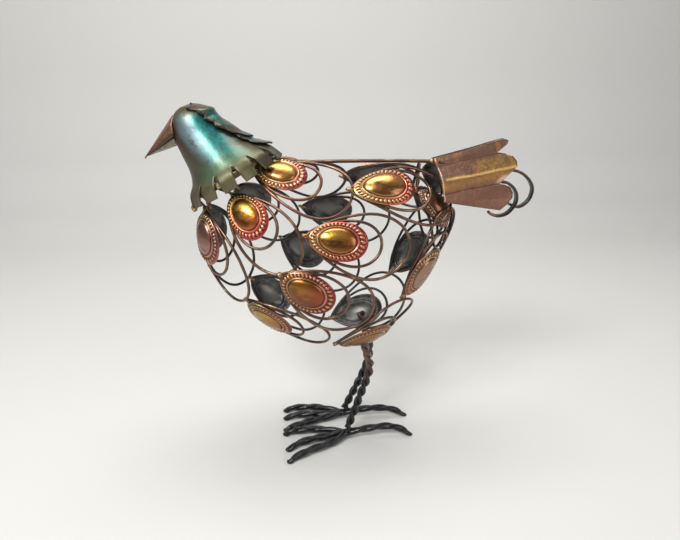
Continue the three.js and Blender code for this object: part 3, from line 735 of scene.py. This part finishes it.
def plate_height(r, column):
    """Height over the plate's flat edge, and how much of it is bead crown or groove."""
    off = (column % BEAD_COLUMNS) / BEAD_COLUMNS - 0.5
    bead = max(0.0, 1 - (off / 0.46) ** 2 - ((r - BEAD_MIDDLE) / 0.085) ** 2) ** 0.5
    edge = EDGE_HEIGHT * (1 - ramp(r, 0.93, 0.985) ** 2)
    oval = OVAL_HEIGHT * swell(r, OVAL_MIDDLE, 0.035)
    inside = 1 - ramp(r, 0.6, 0.66)
    dome = DOME_HEIGHT * max(0.0, 1 - (r / DOME_RADIUS) ** 2) ** 0.62
    height = edge + BEAD_HEIGHT * bead + oval + STEP_HEIGHT * inside + dome
    trough = (1 - bead) * swell(r, BEAD_MIDDLE, 0.09) + 0.9 * swell(r, 0.635, 0.02)
    crown = bead**2 + 0.9 * swell(r, OVAL_MIDDLE, 0.025)
    return height, min(crown, 1), min(trough, 1)


PLATE_ANGLES = arc_angles(BEADS * BEAD_COLUMNS)


def plate_mesh(feather):
    """Rings drawn inwards from the rim, then bent on to the feather."""
    bm = new_mesh()
    uv = bm.loops.layers.uv.active
    crown, groove = (bm.verts.layers.float[n] for n in ("crown", "groove"))
    count = len(PLATE_ANGLES)
    made = bmesh.ops.create_circle(bm, segments=count, radius=1)["verts"]
    made.sort(key=lambda v: math.atan2(v.co.y, v.co.x) % (2 * math.pi))
    flat = {}
    rim = made
    edges = list(bm.edges)
    for k, r in enumerate(PLATE_RINGS):
        if k:
            grown = bmesh.ops.extrude_edge_only(bm, edges=edges)["geom"]
            edges = [e for e in grown if isinstance(e, bmesh.types.BMEdge)]
            new = [v for v in grown if isinstance(v, bmesh.types.BMVert)]
            linked = {}
            for v in new:
                for e in v.link_edges:
                    linked.setdefault(e.other_vert(v), v)
            rim = [linked[v] for v in rim]
        for column, v in enumerate(rim):
            a = PLATE_ANGLES[column]
            height, top, low = plate_height(r, column)
            flat[v] = (r * math.cos(a), r * math.sin(a), height)
            v[crown], v[groove] = top, low
    centre = bmesh.ops.extrude_edge_only(bm, edges=edges)["geom"]
    centre = [v for v in centre if isinstance(v, bmesh.types.BMVert)]
    for v in centre:
        flat[v] = (0, 0, plate_height(0, 0)[0])
    for v in bm.verts:
        x, y, height = flat[v]
        s = PLATE_FROM_TIP + PLATE_LENGTH / 2 * x
        t = PLATE_WIDTH / 2 * y * (1 + 0.15 * x)
        v.co = feather.at(s, t, PLATE_REST + PLATE_SHEET + height)
    for f in bm.faces:
        for loop in f.loops:
            x, y, _ = flat[loop.vert]
            loop[uv].uv = (0.5 + x / 2, 0.5 + y / 2)
    bmesh.ops.remove_doubles(bm, verts=centre, dist=0.05)
    middle = feather.at(PLATE_FROM_TIP, 0)
    turn_out(bm, nearest_face(bm, middle), surface_normal(middle))
    return bm


feather_wire = wire_lacquer("feather_wire")
back_of_plate = bare_back("plate_back")
feathers = {name: Feather(**form) for name, form in FEATHERS.items()}
loops = {name: [f.loop(1, 96), f.loop(INNER_SHARE, 80)] for name, f in feathers.items()}

TIP_BRAZE = (3.6, 1.9, 1.6)
TIP_DROP = (1.5, 1.3, 1.2)
JOINT_BRAZE = (2.3, 1.45, 1.3)
JOINT_REACH = 3.4
JOINTS_APART = 5
SEAM_BRAZE = (1.5, 1.7, 1.4)
SEAM_REACH = 4.2


def tip_braze(bm, feather, seed):
    add_blob(bm, feather.at(0.5, 0, 0.3), TIP_BRAZE, feather.along, seed)
    add_blob(bm, feather.at(-1.6, 0.6, 0.2), TIP_DROP, feather.along, seed + 0.4, 1)


def joint_beads(bm, name):
    """Beads where this feather's wires come against a neighbour's."""
    spots = []
    for other, lines in loops.items():
        if other <= name:
            continue
        for mine in loops[name]:
            for theirs in lines:
                gaps = [min(((p - q).length, k) for k, q in enumerate(theirs)) for p in mine]
                for i, (far, k) in enumerate(gaps):
                    ahead = (i + 1) % len(mine)
                    if far >= JOINT_REACH or far > gaps[ahead][0] or far > gaps[i - 1][0]:
                        continue
                    spot = (mine[i] + theirs[k]) / 2
                    if all((spot - s).length > JOINTS_APART for s, _ in spots):
                        spots.append((spot, (mine[ahead] - mine[i - 1]).normalized()))
    for i, (spot, along) in enumerate(spots):
        add_blob(bm, spot, JOINT_BRAZE, along, i * 0.7 + len(name), 1)


def seam_beads(bm, name):
    """Beads across the centre plane, where a low feather comes against its mirror image."""
    for line in loops[name]:
        for i, p in enumerate(line):
            ahead = line[(i + 1) % len(line)]
            if -SEAM_REACH < p.y and line[i - 1].y <= p.y > ahead.y and p.z < BACK_LEVEL:
                size = (max(SEAM_BRAZE[0], -p.y * 0.75), *SEAM_BRAZE[1:])
                add_blob(bm, Vector((p.x, p.y / 2, p.z)), size, Vector((0, 1, 0)), i * 0.3)


for index, (name, feather) in enumerate(feathers.items()):
    wires = new_mesh()
    lines = [(loop, WIRE / 2, True) for loop in loops[name]]
    tip = feather.at(0.5, 0)
    if feather.to_ring:
        lead = feather.at(-feather.to_ring, 0)
        lines.append(([tip, lead, nearest_on_ring(lead)], WIRE / 2, False))
    if feather.to_ridge:
        top = Vector((tip.x + 3, -RIDGE_WIRE * 0.5, RIDGE_HEIGHT - RIDGE_WIRE / 2))
        lines.append(([tip, tip.lerp(top, 0.5), top], WIRE / 2, False))
    add_wires(wires, lines)
    tip_braze(wires, feather, index * 1.3)
    joint_beads(wires, name)
    seam_beads(wires, name)
    plate = plate_mesh(feather)
    finish = plate_lacquer("plate_" + name, *TINTS[name])
    for side, make in (("left", lambda bm: bm.copy()), ("right", mirrored)):
        wires_node, plate_node = f"wires_{name}_{side}", f"plate_{name}_{side}"
        piece(f"feather_{wires_node}", make(wires), [feather_wire], [wires_node], "wire")
        both = [finish, back_of_plate]
        piece(f"feather_{plate_node}", make(plate), both, [plate_node], "plate", sheet=PLATE_WALL)

# Ridge: two wires side by side, with beads as (place, size, seed, detail)
RIDGE_LINE = (
    (-74, 0.9, 231), (-50, 1.15, 232.6), (-15, 1.2, 233.2), (20, 1.15, 233), (45, 1.1, 232.4),
    (57, 1.4, 231.6),
)
RIDGE_BEADS = (
    ((53.5, 0, 232), (4.2, 2.7, 2.0), 3, 3),
    ((38, 0, 232.6), (3.0, 2.1, 1.5), 5, 2),
    ((-22, 0, 232.8), (2.4, 2.2, 1.5), 6, 2),
)
ridge = new_mesh()
ridge_lines = []
for side in (-1, 1):
    line = through([(x, side * y, z) for x, y, z in RIDGE_LINE], 8)
    ridge_lines.append((line, RIDGE_WIRE / 2, False))
add_wires(ridge, ridge_lines, 3)
for where, size, seed, detail in RIDGE_BEADS:
    add_blob(ridge, Vector(where), size, seed=seed, detail=detail)
piece("back_ridge", ridge, [feather_wire], ["ridge_wires"], "wire")


# Neck ring: a flat bar, tilted like the neck
def collar_gold():
    f = Finish("collar_gold", metallic=0.9, roughness=0.32, coat=0.4)
    worn = f.noise(300, 4)
    f.put("Base Color", f.mix(worn.rise(0.35, 0.7), (0.16, 0.11, 0.05), (0.58, 0.44, 0.18)))
    f.put("Roughness", 0.26 + worn * 0.2)
    return f.material


RING_BAR = ((-0.9, -2.2), (0.9, -2.2), (0.9, 2.2), (-0.9, 2.2))
RING_STEPS = 72
RING_BRAZE_PLACE = (-121.6, -8, 202.4)
RING_BRAZE = (2.3, 2.6, 2.9)
ring = new_mesh()
ring_bar = [ring.verts.new((RING_RADIUS + x, 0, z)) for x, z in RING_BAR]
ring_edges = [ring.edges.new((ring_bar[i], ring_bar[(i + 1) % 4])) for i in range(4)]
bmesh.ops.spin(
    ring, geom=ring_bar + ring_edges, cent=(0, 0, 0), axis=(0, 0, 1),
    angle=2 * math.pi, steps=RING_STEPS, use_merge=True,
)
tilt = Matrix((RING_BACK, Vector((0, 1, 0)), RING_UP)).transposed().to_4x4()
bmesh.ops.transform(ring, matrix=Matrix.Translation(RING_CENTRE) @ tilt, verts=ring.verts)
bmesh.ops.recalc_face_normals(ring, faces=ring.faces)
add_blob(ring, Vector(RING_BRAZE_PLACE), RING_BRAZE, seed=9, detail=3)
piece("collar_ring", ring, [collar_gold()], ["neck_ring"], "ring", smooth=False, bevel=0.35)

# Hood: sections of the neck from the crown to the flap ends (front x, z, back x, z, half width)
HOOD_SECTIONS = (
    (-126.4, 271.4, -112.5, 273, 6),
    (-130.6, 267.5, -106, 270.4, 10),
    (-132.6, 261, -102.5, 265.4, 13),
    (-131.6, 249.5, -95.5, 260, 16.2),
    (-127.6, 238.5, -88, 254, 20.5),
    (-123.4, 228, -80.5, 250, 25),
    (-122.4, 219, -73, 247.5, 29.5),
    (-124.2, 211.5, -66.5, 245, 33.5),
    (-125.3, 200.8, -57.5, 238.6, 36.6),
)
HOOD_LAST = len(HOOD_SECTIONS) - 1
FLAPS = 14
FLAP_START = 6.2
FLAP_BEND = 6
FLAP_BEND_FROM = 0.56
FLAP_NARROWS = 0.44
FLAP_CURL = 0.7
CROWN = Vector((-120.5, 0, 273.6))


def hood_section(row):
    """The five numbers of a section, smooth between the rows of the table."""
    row = min(max(row, 0), HOOD_LAST)
    i = min(int(row), HOOD_LAST - 1)
    picks = [HOOD_SECTIONS[min(max(k, 0), HOOD_LAST)] for k in (i - 1, i, i + 1, i + 2)]
    return [curve_between(*numbers, row - i) for numbers in zip(*picks)]


def hood_point(row, angle, lift=0.0):
    """A point of the hood: angle 0 is the front, lift is out from the sheet."""
    fx, fz, bx, bz, half = hood_section(row)
    front, back = Vector((fx, 0, fz)), Vector((bx, 0, bz))
    middle = (front + back) / 2
    reach = (front - middle).length + lift
    away = (front - middle).normalized()
    p = middle + away * (reach * math.cos(angle)) + Vector((0, -(half + lift) * math.sin(angle), 0))
    return p.lerp(CROWN, -row) if row < 0 else p


def hood_mesh():
    """The closed part of the hood, then its flaps; v runs from the crown to the flap ends."""

    def upper(u, v):
        row = -1 + v * (FLAP_START + 1)
        return hood_point(row, 2 * math.pi * u)

    bm = sheet_mesh(FLAPS * 8, 40, upper)
    uv = bm.loops.layers.uv.active
    for f in bm.faces:
        for loop in f.loops:
            loop[uv].uv.y *= (FLAP_START + 1) / (HOOD_LAST + 1)
    for k in range(FLAPS):
        middle = (k + 0.5) / FLAPS
        fold = FLAP_BEND * min(1, abs(2 * middle - 1) / 0.4)  # none at the nape

        def flap(u, v, middle=middle, fold=fold):
            row = FLAP_START + v * (HOOD_LAST - FLAP_START)
            narrow = 1 - FLAP_NARROWS * v**0.8
            share = middle + (u - 0.5) / FLAPS * narrow
            bend = max(0.0, v - FLAP_BEND_FROM)
            curl = FLAP_CURL * min(v / 0.5, 1) * (2 * u - 1) ** 2
            return hood_point(row, 2 * math.pi * share, curl - fold * bend)

        tab = sheet_mesh(8, 14, flap)
        tab_uv = tab.loops.layers.uv.active
        for f in tab.faces:
            for loop in f.loops:
                u, v = loop[tab_uv].uv
                row = FLAP_START + 1 + v * (HOOD_LAST - FLAP_START)
                loop[tab_uv].uv = (middle + (u - 0.5) / FLAPS, row / (HOOD_LAST + 1))
        add_part(bm, tab)
    bmesh.ops.remove_doubles(bm, verts=bm.verts, dist=0.02)
    turn_out(bm, nearest_face(bm, Vector((-110, -18, 245))), (0, -1, 0))
    return bm


hood_sides = [hood_lacquer(), inner_sheet("hood_inside")]
piece("hood", hood_mesh(), hood_sides, ["head_hood"], "hood", sheet=1.0)


# Crest: the upper leaf with its scalloped edges, and the longer leaf under it
def crest_mesh(start, stop, half, rise, lift, scallops, crinkle):
    """A leaf along the hood's crown and nape, from one of its sections to another.

    half is its half width, lift its height over the hood, rise how far its end stands off.
    """

    def where(u, v):
        row = start + (stop - start) * v
        ends = min(1, math.sin(math.pi * min(v * 1.6 + 0.06, 0.5)))
        taper = 1 - 0.88 * ((v - 0.7) / 0.3) ** 1.2 if v > 0.7 else 1
        wave = 0.9 + 0.16 * abs(math.sin(v * scallops * math.pi))
        wide = half * ends * taper * wave
        span = wide / hood_section(row)[4]
        off = lift * min(1, 0.35 + v * 2.2) + rise * max(0, (v - 0.6) / 0.4) ** 1.6
        off += crinkle * noise.noise(Vector((u * 3, v * 9, scallops)))
        p = hood_point(row, math.pi - (u - 0.5) * 2 * span, off)
        p.z += off * max(0, -row)
        return p

    bm = sheet_mesh(18, 54, where)
    turn_out(bm, max(bm.faces, key=lambda f: f.calc_center_median().z), (0, 0, 1))
    return bm


UPPER_LEAF = dict(start=-0.85, stop=4.9, half=12.5, rise=1.6, lift=2.7, scallops=7, crinkle=0.8)
LOWER_LEAF = dict(start=3.0, stop=6.9, half=10, rise=1.4, lift=2.2, scallops=4, crinkle=0.5)
leaves = crest_mesh(**UPPER_LEAF)
add_part(leaves, crest_mesh(**LOWER_LEAF))
crest_sides = [crest_lacquer(), inner_sheet("crest_inside")]
piece("crest", leaves, crest_sides, ["head_crest"], "crest", sheet=0.9)


# Beak: two folded halves that close at the tip
def beak_mesh(root, tip, half_width, flare):
    """root is an open line of (x, z, share of the half width), folded along its middle."""

    def where(u, v):
        x, z, w = between_rows(root, u)
        p = Vector((x, 0, z)).lerp(Vector(tip), v)
        p.y += w * half_width * (1 - v) * (1 + flare * v)
        return p

    bm = sheet_mesh((len(root) - 1) * 4, 24, where)
    bmesh.ops.remove_doubles(bm, verts=bm.verts, dist=0.02)
    turn_out(bm, min(bm.faces, key=lambda f: f.calc_center_median().y), (0, -1, 0))
    return bm


UPPER_ROOT = (
    (-131, 253, -1), (-132, 261.5, -0.8), (-132, 266.5, 0), (-132, 261.5, 0.8), (-131, 253, 1),
)
LOWER_ROOT = (
    (-131, 252.4, 1), (-130.5, 248.4, 0.7), (-130, 245.8, 0), (-130.5, 248.4, -0.7),
    (-131, 252.4, -1),
)
UPPER_TONES = ((0.2, 0.1, 0.06), (0.36, 0.19, 0.11))
LOWER_TONES = ((0.14, 0.12, 0.09), (0.3, 0.27, 0.2))
beak_inside = inner_sheet("beak_inside")
for name, node, root, tip, half, tones in (
    ("beak_top", "beak_upper", UPPER_ROOT, (-154.3, 0, 237.4), 8.4, UPPER_TONES),
    ("beak_under", "beak_lower", LOWER_ROOT, (-151.8, 0, 238.6), 6.6, LOWER_TONES),
):
    half_beak = beak_mesh(root, tip, half, 0.2)
    piece(name, half_beak, [beak_lacquer(name, *tones), beak_inside], [node], name, sheet=0.8)

# Tail: two folded sheets; each row runs from root (x, z) to end (x, z) and stands out by a fold
TAIL_TOP_SIDE = RIDGE_WIRE * 0.9 + 0.5
TAIL_LEAN = 0.55
FAR_LOBE = 9
TAIL_CREASE = 14
TAIL_ROWS = (
    (53.5, 234.5, 102, 246.6, 0),
    (53.6, 233.8, 107.6, 248, 0.2),
    (53.8, 232.6, 109.4, 247, 0.4),
    (54.2, 231.2, 108.6, 244.6, 0.2),
    (54.8, 229.8, 104.4, 240.8, -0.8),
    (55.5, 228, 99.8, 237.1, -1.6),
    (56.1, 226.4, 106.5, 237, -0.6),
    (56.7, 224.8, 112.6, 236.2, 0.6),
    (57.3, 222.6, 114.9, 233.4, 1.8),
    (57.9, 219.8, 114.9, 230, 2.4),
    (58.4, 216.6, 112.6, 227.2, 1.4),
    (58.8, 213, 107.5, 221.8, 0),
    (59, 209.4, 102.2, 215.9, -1.6),
    (59, 208.6, 105.4, 215.8, -1),
    (59, 207.8, 109.5, 214.5, -0.2),
    (59, 207, 111.4, 211, 0.8),
    (58.9, 206.4, 110.6, 207.6, 1.4),
    (58.8, 205.8, 107, 203, 0.8),
    (58.7, 205.1, 101.3, 198.4, 0),
)


def tail_mesh(lobe):
    """lobe is how far the root edge bulges forward at its middle."""

    def where(u, v):
        x0, z0, x1, z1, fold = between_rows(TAIL_ROWS, v)
        fold *= min(1, u * 2 + 0.25)
        x, z = x0 + (x1 - x0) * u, z0 + (z1 - z0) * u
        top = TAIL_ROWS[0][1] + (TAIL_ROWS[0][3] - TAIL_ROWS[0][1]) * u
        slope = TAIL_LEAN * (1 - 0.35 * u)
        level = 1 / math.hypot(1, slope)
        side = TAIL_TOP_SIDE + slope * (top - z) + fold * level
        bulge = math.sin(math.pi * ramp(v, 0.12, 0.72))
        x -= lobe * max(0, 1 - u / 0.2) * bulge
        return Vector((x, -side, z - fold * level * slope))

    bm = sheet_mesh(30, 72, where)
    bmesh.ops.recalc_face_normals(bm, faces=bm.faces)
    if sum(f.normal.y for f in bm.faces) > 0:
        bmesh.ops.reverse_faces(bm, faces=bm.faces)
    return bm


tail_sides = [tail_lacquer(), bare_back("tail_inside")]
for side, tail in (("left", tail_mesh(0)), ("right", mirrored(tail_mesh(FAR_LOBE)))):
    piece(
        f"tail_{side}", tail, tail_sides, [f"tail_sheet_{side}"], "tail", sheet=0.7, sharp=TAIL_CREASE
    )

# Curls: flat strips that narrow towards their ends
CURL_WIDTH = 5
CURL_SHEET = 2
CURL_EDGE = 0.5
CURL_SIDE = 2.5
CURL_HOLLOW = 0.35


def curl_mesh(points, y):
    line = through([(x, y, z) for x, z in points], 10)
    last = len(line) - 1

    def where(u, v):
        i = round(v * last)
        ahead = (line[min(i + 1, last)] - line[max(i - 1, 0)]).normalized()
        out = ahead.cross(Vector((0, 1, 0)))
        half = CURL_WIDTH / 2 * (1 - 0.4 * v)
        side = 2 * u - 1
        return line[i] + Vector((0, half * side, 0)) - out * (CURL_HOLLOW * side**2)

    return sheet_mesh(4, last, where)


curl_finish = wire_lacquer("curl_lacquer", 0.1)
CURL_HIGH = (
    (56.7, 232.5), (80, 228), (104, 223.8), (117.5, 223.3), (127, 219.3), (133.4, 211),
    (132.4, 202), (125.5, 196.3), (117.5, 198.6),
)
CURL_LOW = (
    (56.7, 231.5), (80, 224), (103, 216.6), (112.5, 214.2), (118.6, 208), (119.4, 200),
    (114.6, 193), (108.4, 190.6), (103, 191.6), (99.5, 194),
)
for name, points, y in (("high", CURL_HIGH, CURL_SIDE), ("low", CURL_LOW, -CURL_SIDE)):
    strip = curl_mesh(points, y)
    node = f"tail_curl_{name}"
    piece(f"curl_{name}", strip, [curl_finish], [node], "curl", sheet=CURL_SHEET, bevel=CURL_EDGE)

# Legs: two strands twisted round each other; the path is (x, z, how far outside LEG_SIDE)
FOOT_HEIGHT = 8
LEG_SIDE = 14.5
LEG_STRAND = 3.4
LEG_RADIUS = LEG_STRAND / 2 * 1.1
LEG_TOP_DEPTH = 1.018  # the leg ends inside the thigh feather's plate
TWIST_PITCH = 19.5
FAR_LEG_BACK = 4.5
KNEE_HEIGHT = 44
LEG_PATH = (
    (0, 100, 10), (4, 84, 5), (7.5, 70, 1), (5, 57, 0), (0.5, 44, 0), (-4, 30, 0), (-8, 18, 0),
    (-10.5, FOOT_HEIGHT + 1.9, 0),
)


def twisted(line, strand, pitch, start=0.0):
    """Two lines wound round a middle line, each half a strand away from it."""
    strands = [[], []]
    run = start
    for i, p in enumerate(line):
        if i:
            run += (p - line[i - 1]).length
        turn = -2 * math.pi * run / pitch
        ahead = (line[min(i + 1, len(line) - 1)] - line[max(i - 1, 0)]).normalized()
        across = Vector((0, 1, 0)) if abs(ahead.y) < 0.8 else Vector((0, 0, 1))
        front = across.cross(ahead).normalized()
        across = ahead.cross(front)
        for k in (0, 1):
            away = front * math.cos(turn + math.pi * k) + across * math.sin(turn + math.pi * k)
            strands[k].append(p + away * (strand * 0.47))
    return strands


LEG_BROWN = (52, 76)
NO_BROWN = (300, 320)  # above the hen
leg_finish = black_lacquer("leg_lacquer", *LEG_BROWN)
foot_finish = black_lacquer("foot_lacquer", *NO_BROWN)
for side, sign, behind in (("left", -1, 0), ("right", 1, FAR_LEG_BACK)):
    points = []
    for x, z, out in LEG_PATH:
        back = behind * ramp(z, FOOT_HEIGHT, KNEE_HEIGHT)
        points.append((x + back, sign * (LEG_SIDE + out), z))
    path = [p for p in through(points, 14) if depth_in(p) > LEG_TOP_DEPTH]
    leg = new_mesh()
    strands = twisted(path, LEG_STRAND, TWIST_PITCH)
    add_wires(leg, [(strand, LEG_RADIUS, False) for strand in strands], 4)
    piece(f"leg_{side}_strands", leg, [leg_finish], [f"leg_{side}"], "leg")

# Feet: toes of two fine strands each, brazed at the joint
TOES = {
    "left": (
        ((-33, -6, 4.4), (-50, -5.2, 4.4), (-59, -5.6, 3.4), (-63, -6.4, 1.2)),
        ((-28, -16, 4.6), (-42, -19, 4.6), (-54, -23, 3.6), (-61, -27, 1.2)),
        ((-26, -25, 4.6), (-42, -32, 4.6), (-54, -38, 3.6), (-60, -41.5, 1.2)),
        ((8, -14.5, 9), (24, -14, 9.6), (36, -15, 6.5), (43, -16, 1.2)),
    ),
    "right": (
        ((-32, 26, 4.6), (-48, 28, 4.6), (-58, 28.5, 3.6), (-63, 28, 1.2)),
        ((-30, 16, 4.6), (-46, 17, 4.6), (-57, 17, 3.6), (-63, 16, 1.2)),
        ((-30, 10, 4.4), (-47, 4.5, 4.4), (-58, 0.4, 3.4), (-63, -0.8, 1.2)),
        ((8, 14.5, 8.6), (24, 14, 8.8), (36, 13, 6.2), (44, 12, 1.2)),
    ),
}
TOE_THICK = 5.6
TOE_PITCH = 30
TOE_TIP = (2.6, 2.0, 1.8)
ANKLE_X = -11
ANKLE_BRAZE = (4.4, 4.0, 2.8)
LOWEST = 0.28  # the soles rest just over the floor


def toe_radius(share):
    """A strand's radius at a share of the toe's length; it tapers from 0.6 on."""
    return TOE_THICK * 0.42 * (1 - 0.25 * max(share - 0.6, 0) / 0.4)


for side, sign in (("left", -1), ("right", 1)):
    joint = Vector((ANKLE_X, sign * LEG_SIDE, FOOT_HEIGHT - 2))
    foot = new_mesh()
    for k, toe in enumerate(TOES[side]):
        line = through([joint, *toe], 12)
        radii = [toe_radius(i / (len(line) - 1)) for i in range(len(line))]
        for strand in twisted(line, TOE_THICK * 0.3, TOE_PITCH, k * 5):
            add_wires(foot, [(strand, radii, False)], 3)
        add_blob(foot, line[-1] + Vector((0, 0, 0.3)), TOE_TIP, Vector((1, 0, -0.3)), k)
    add_blob(foot, joint, ANKLE_BRAZE, seed=2 + sign, detail=3)
    for v in foot.verts:
        v.co.z = max(v.co.z, LOWEST)
    piece(f"foot_{side}_toes", foot, [foot_finish], [f"foot_{side}"], "foot")

# Stage, in metres: a floor that curves up into a wall behind the hen, as (y, z)
STAGE_LINE = ((-1.2, 0.0), (0.55, 0.0), (0.72, 0.03), (0.82, 0.12), (0.86, 0.3), (0.86, 2.2))
STAGE_HALF = 3
FLOOR_BELOW = 0.0002
floor_finish = Finish("pale_floor", metallic=0, roughness=0.7)
floor_finish.put("Base Color", (0.66, 0.65, 0.62))
hen_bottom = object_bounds()[0][2]
stage = bmesh.new()
corners = [stage.verts.new((-STAGE_HALF, y, z)) for y, z in STAGE_LINE]
edges = [stage.edges.new(pair) for pair in zip(corners, corners[1:])]
grown = bmesh.ops.extrude_edge_only(stage, edges=edges)["geom"]
far_side = [v for v in grown if isinstance(v, bmesh.types.BMVert)]
bmesh.ops.translate(stage, vec=(2 * STAGE_HALF, 0, 0), verts=far_side)
for f in stage.faces:
    f.smooth = True
stage_mesh = bpy.data.meshes.new("floor")
stage.to_mesh(stage_mesh)
stage.free()
stage_mesh.materials.append(floor_finish.material)
floor = bpy.data.objects.new("floor", stage_mesh)
floor.location.z = hen_bottom - FLOOR_BELOW
bpy.context.scene.collection.objects.link(floor)

# Light: a dim even surround and three lamps, in metres and watts
SURROUND_COLOUR = (0.82, 0.84, 0.88, 1)
SURROUND_STRENGTH = 0.25
LAMPS = (
    ("key", (-0.5, -0.7, 1.0), (0, 0, 0.15), (0.5, 0.3), 12),
    ("fill", (0.9, -0.8, 0.5), (0, 0, 0.15), (0.5, 0.7), 3.5),
    ("top", (0.0, 0.15, 1.25), (0, 0, 0.1), (0.8, 0.5), 8.5),
)
world = bpy.data.worlds.new("studio")
world.use_nodes = True
surround = world.node_tree.nodes["Background"]
surround.inputs["Color"].default_value = SURROUND_COLOUR
surround.inputs["Strength"].default_value = SURROUND_STRENGTH
bpy.context.scene.world = world


def lamp(name, where, aim, size, power):
    data = bpy.data.lights.new(name, "AREA")
    data.shape = "RECTANGLE"
    data.size, data.size_y = size
    data.energy = power
    made = bpy.data.objects.new(name, data)
    made.location = where
    made.rotation_euler = (Vector(aim) - Vector(where)).to_track_quat("-Z", "Y").to_euler()
    bpy.context.scene.collection.objects.link(made)


for settings in LAMPS:
    lamp(*settings)
bpy.context.scene.view_settings.view_transform = "Standard"

# Leftover meshes and curves go
for data in (bpy.data.meshes, bpy.data.curves):
    for block in list(data):
        if not block.users:
            data.remove(block)
